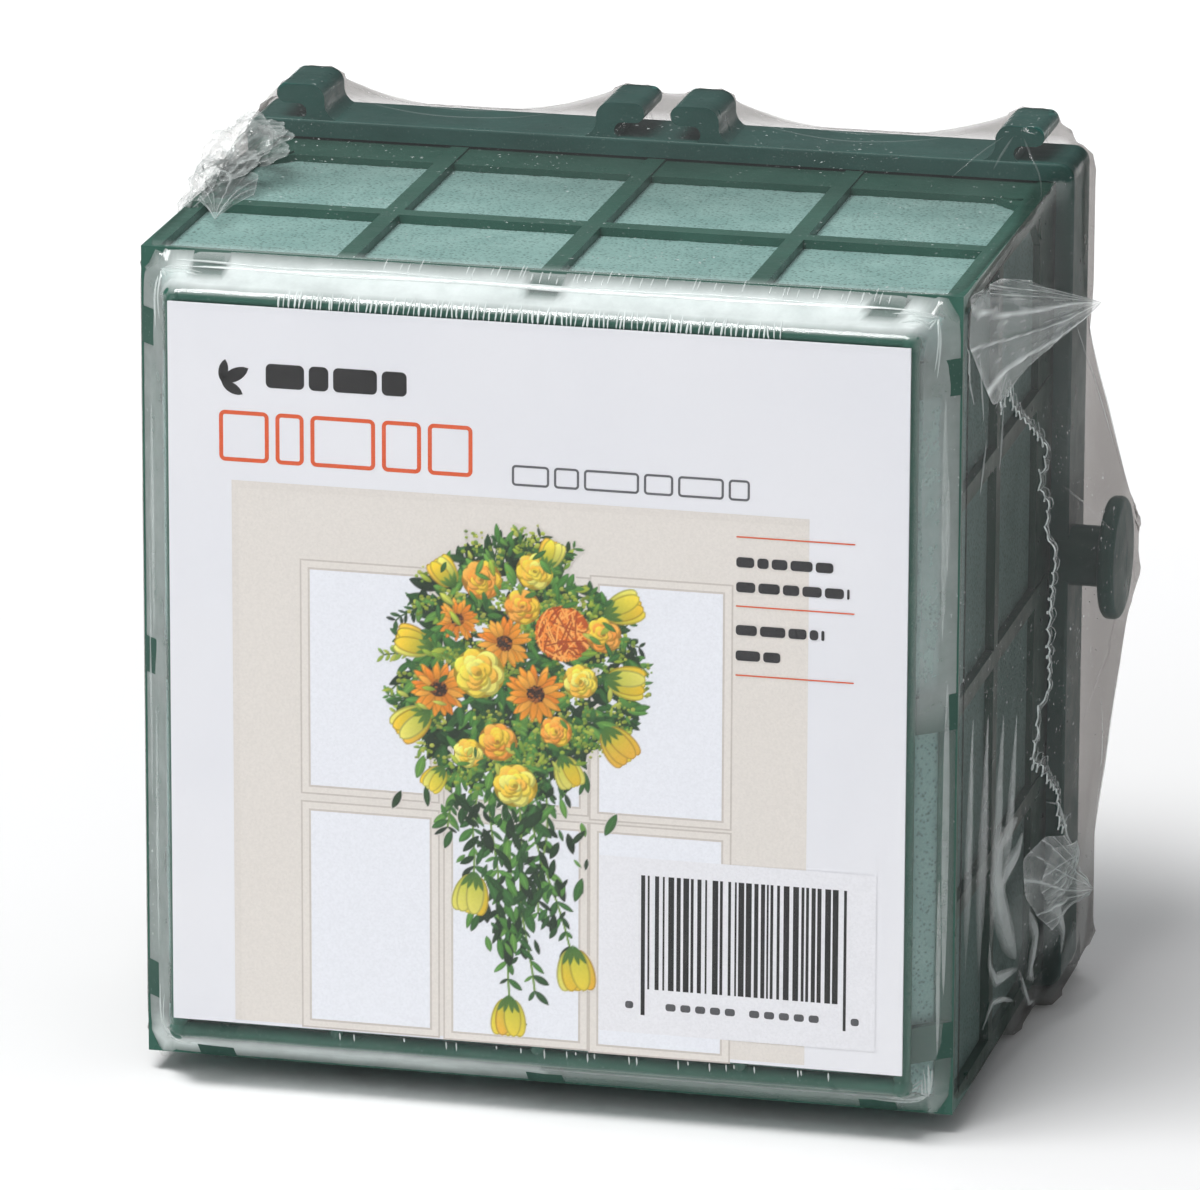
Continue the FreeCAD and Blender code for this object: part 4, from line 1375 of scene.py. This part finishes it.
def studio_camera():
    cos, sin = math.cos, math.sin
    level = cos(CAMERA_PITCH)
    forward = Vector((-sin(CAMERA_YAW) * level, cos(CAMERA_YAW) * level, -sin(CAMERA_PITCH)))
    right = Vector((cos(CAMERA_YAW), sin(CAMERA_YAW), 0))
    up = right.cross(forward)
    aim = CAMERA_AIM - right * CAMERA_LEFT + up * CAMERA_UP
    turned_right = right * cos(CAMERA_ROLL) + up * sin(CAMERA_ROLL)
    turned_up = up * cos(CAMERA_ROLL) - right * sin(CAMERA_ROLL)
    data = bpy.data.cameras.new("camera")
    data.lens = LENS_MM
    data.sensor_width = SENSOR_MM
    data.clip_end = 50
    camera = add_object("camera", data)
    place = Matrix((turned_right, turned_up, -forward)).transposed().to_4x4()
    place.translation = aim - forward * CAMERA_DISTANCE
    camera.matrix_world = place
    bpy.context.scene.camera = camera


def area_light(name, place, aim, width, height, power, spread=180):
    data = bpy.data.lights.new(name, "AREA")
    data.spread = math.radians(spread)
    data.shape = "RECTANGLE"
    data.size = width
    data.size_y = height
    data.energy = power
    lamp = add_object(name, data)
    lamp.location = place
    lamp.rotation_euler = (Vector(aim) - Vector(place)).to_track_quat("-Z", "Y").to_euler()


def studio():
    """A plain pale floor, a room that is light in front and dim behind, and three soft lights."""
    material, tree, shader = node_material("studio_floor")
    clouds = noise_texture(tree, object_place(tree), 4, 2)
    fill(tree, shader, Base_Color=colour_ramp(tree, clouds, [(0.3, 0.9), (0.7, 0.92)]), Roughness=0.9)
    half = 6.0
    mesh = bpy.data.meshes.new("studio_floor")
    corner_places = [(-half, -half, 0), (half, -half, 0), (half, half, 0), (-half, half, 0)]
    mesh.from_pydata(corner_places, [], [(0, 1, 2, 3)])
    mesh.materials.append(material)
    floor = add_object("studio_floor", mesh)
    world = bpy.data.worlds.new("studio_world")
    world.use_nodes = True
    tree = world.node_tree
    way = tree.nodes.new("ShaderNodeTexCoord").outputs["Generated"]
    parts = add(tree, "ShaderNodeSeparateXYZ", Vector=way)
    depth = remap(tree, parts.outputs["Y"], From_Min=-1.0, From_Max=1.0)
    room = colour_ramp(tree, depth, [(0.3, (0.44, 0.44, 0.45)), (0.62, (0.25, 0.25, 0.26))])
    fill(tree, tree.nodes["Background"], Color=room, Strength=0.8)
    bpy.context.scene.world = world
    bpy.context.scene.view_settings.view_transform = "Standard"
    area_light("overhead_softbox", (-0.26, -0.42, 1.15), (0, 0, 0.06), 0.8, 0.3, 13)
    area_light("left_softbox", (-1.1, -1.1, 0.9), (0, 0, 0.06), 0.8, 0.9, 2.5)
    area_light("floor_light", (0.3, 2.6, 2.6), (0.3, 2.1, 0), 3.4, 1.8, 85, 56)


# ---------------------------------------------------------------- build
dress_plastic()
foam_block()
dress_card()
film_tree = film_wrap(film_material("film_clear"))
film_details(film_material("film_folds", rough=0.12, crease=0.5))
studio_camera()
studio()
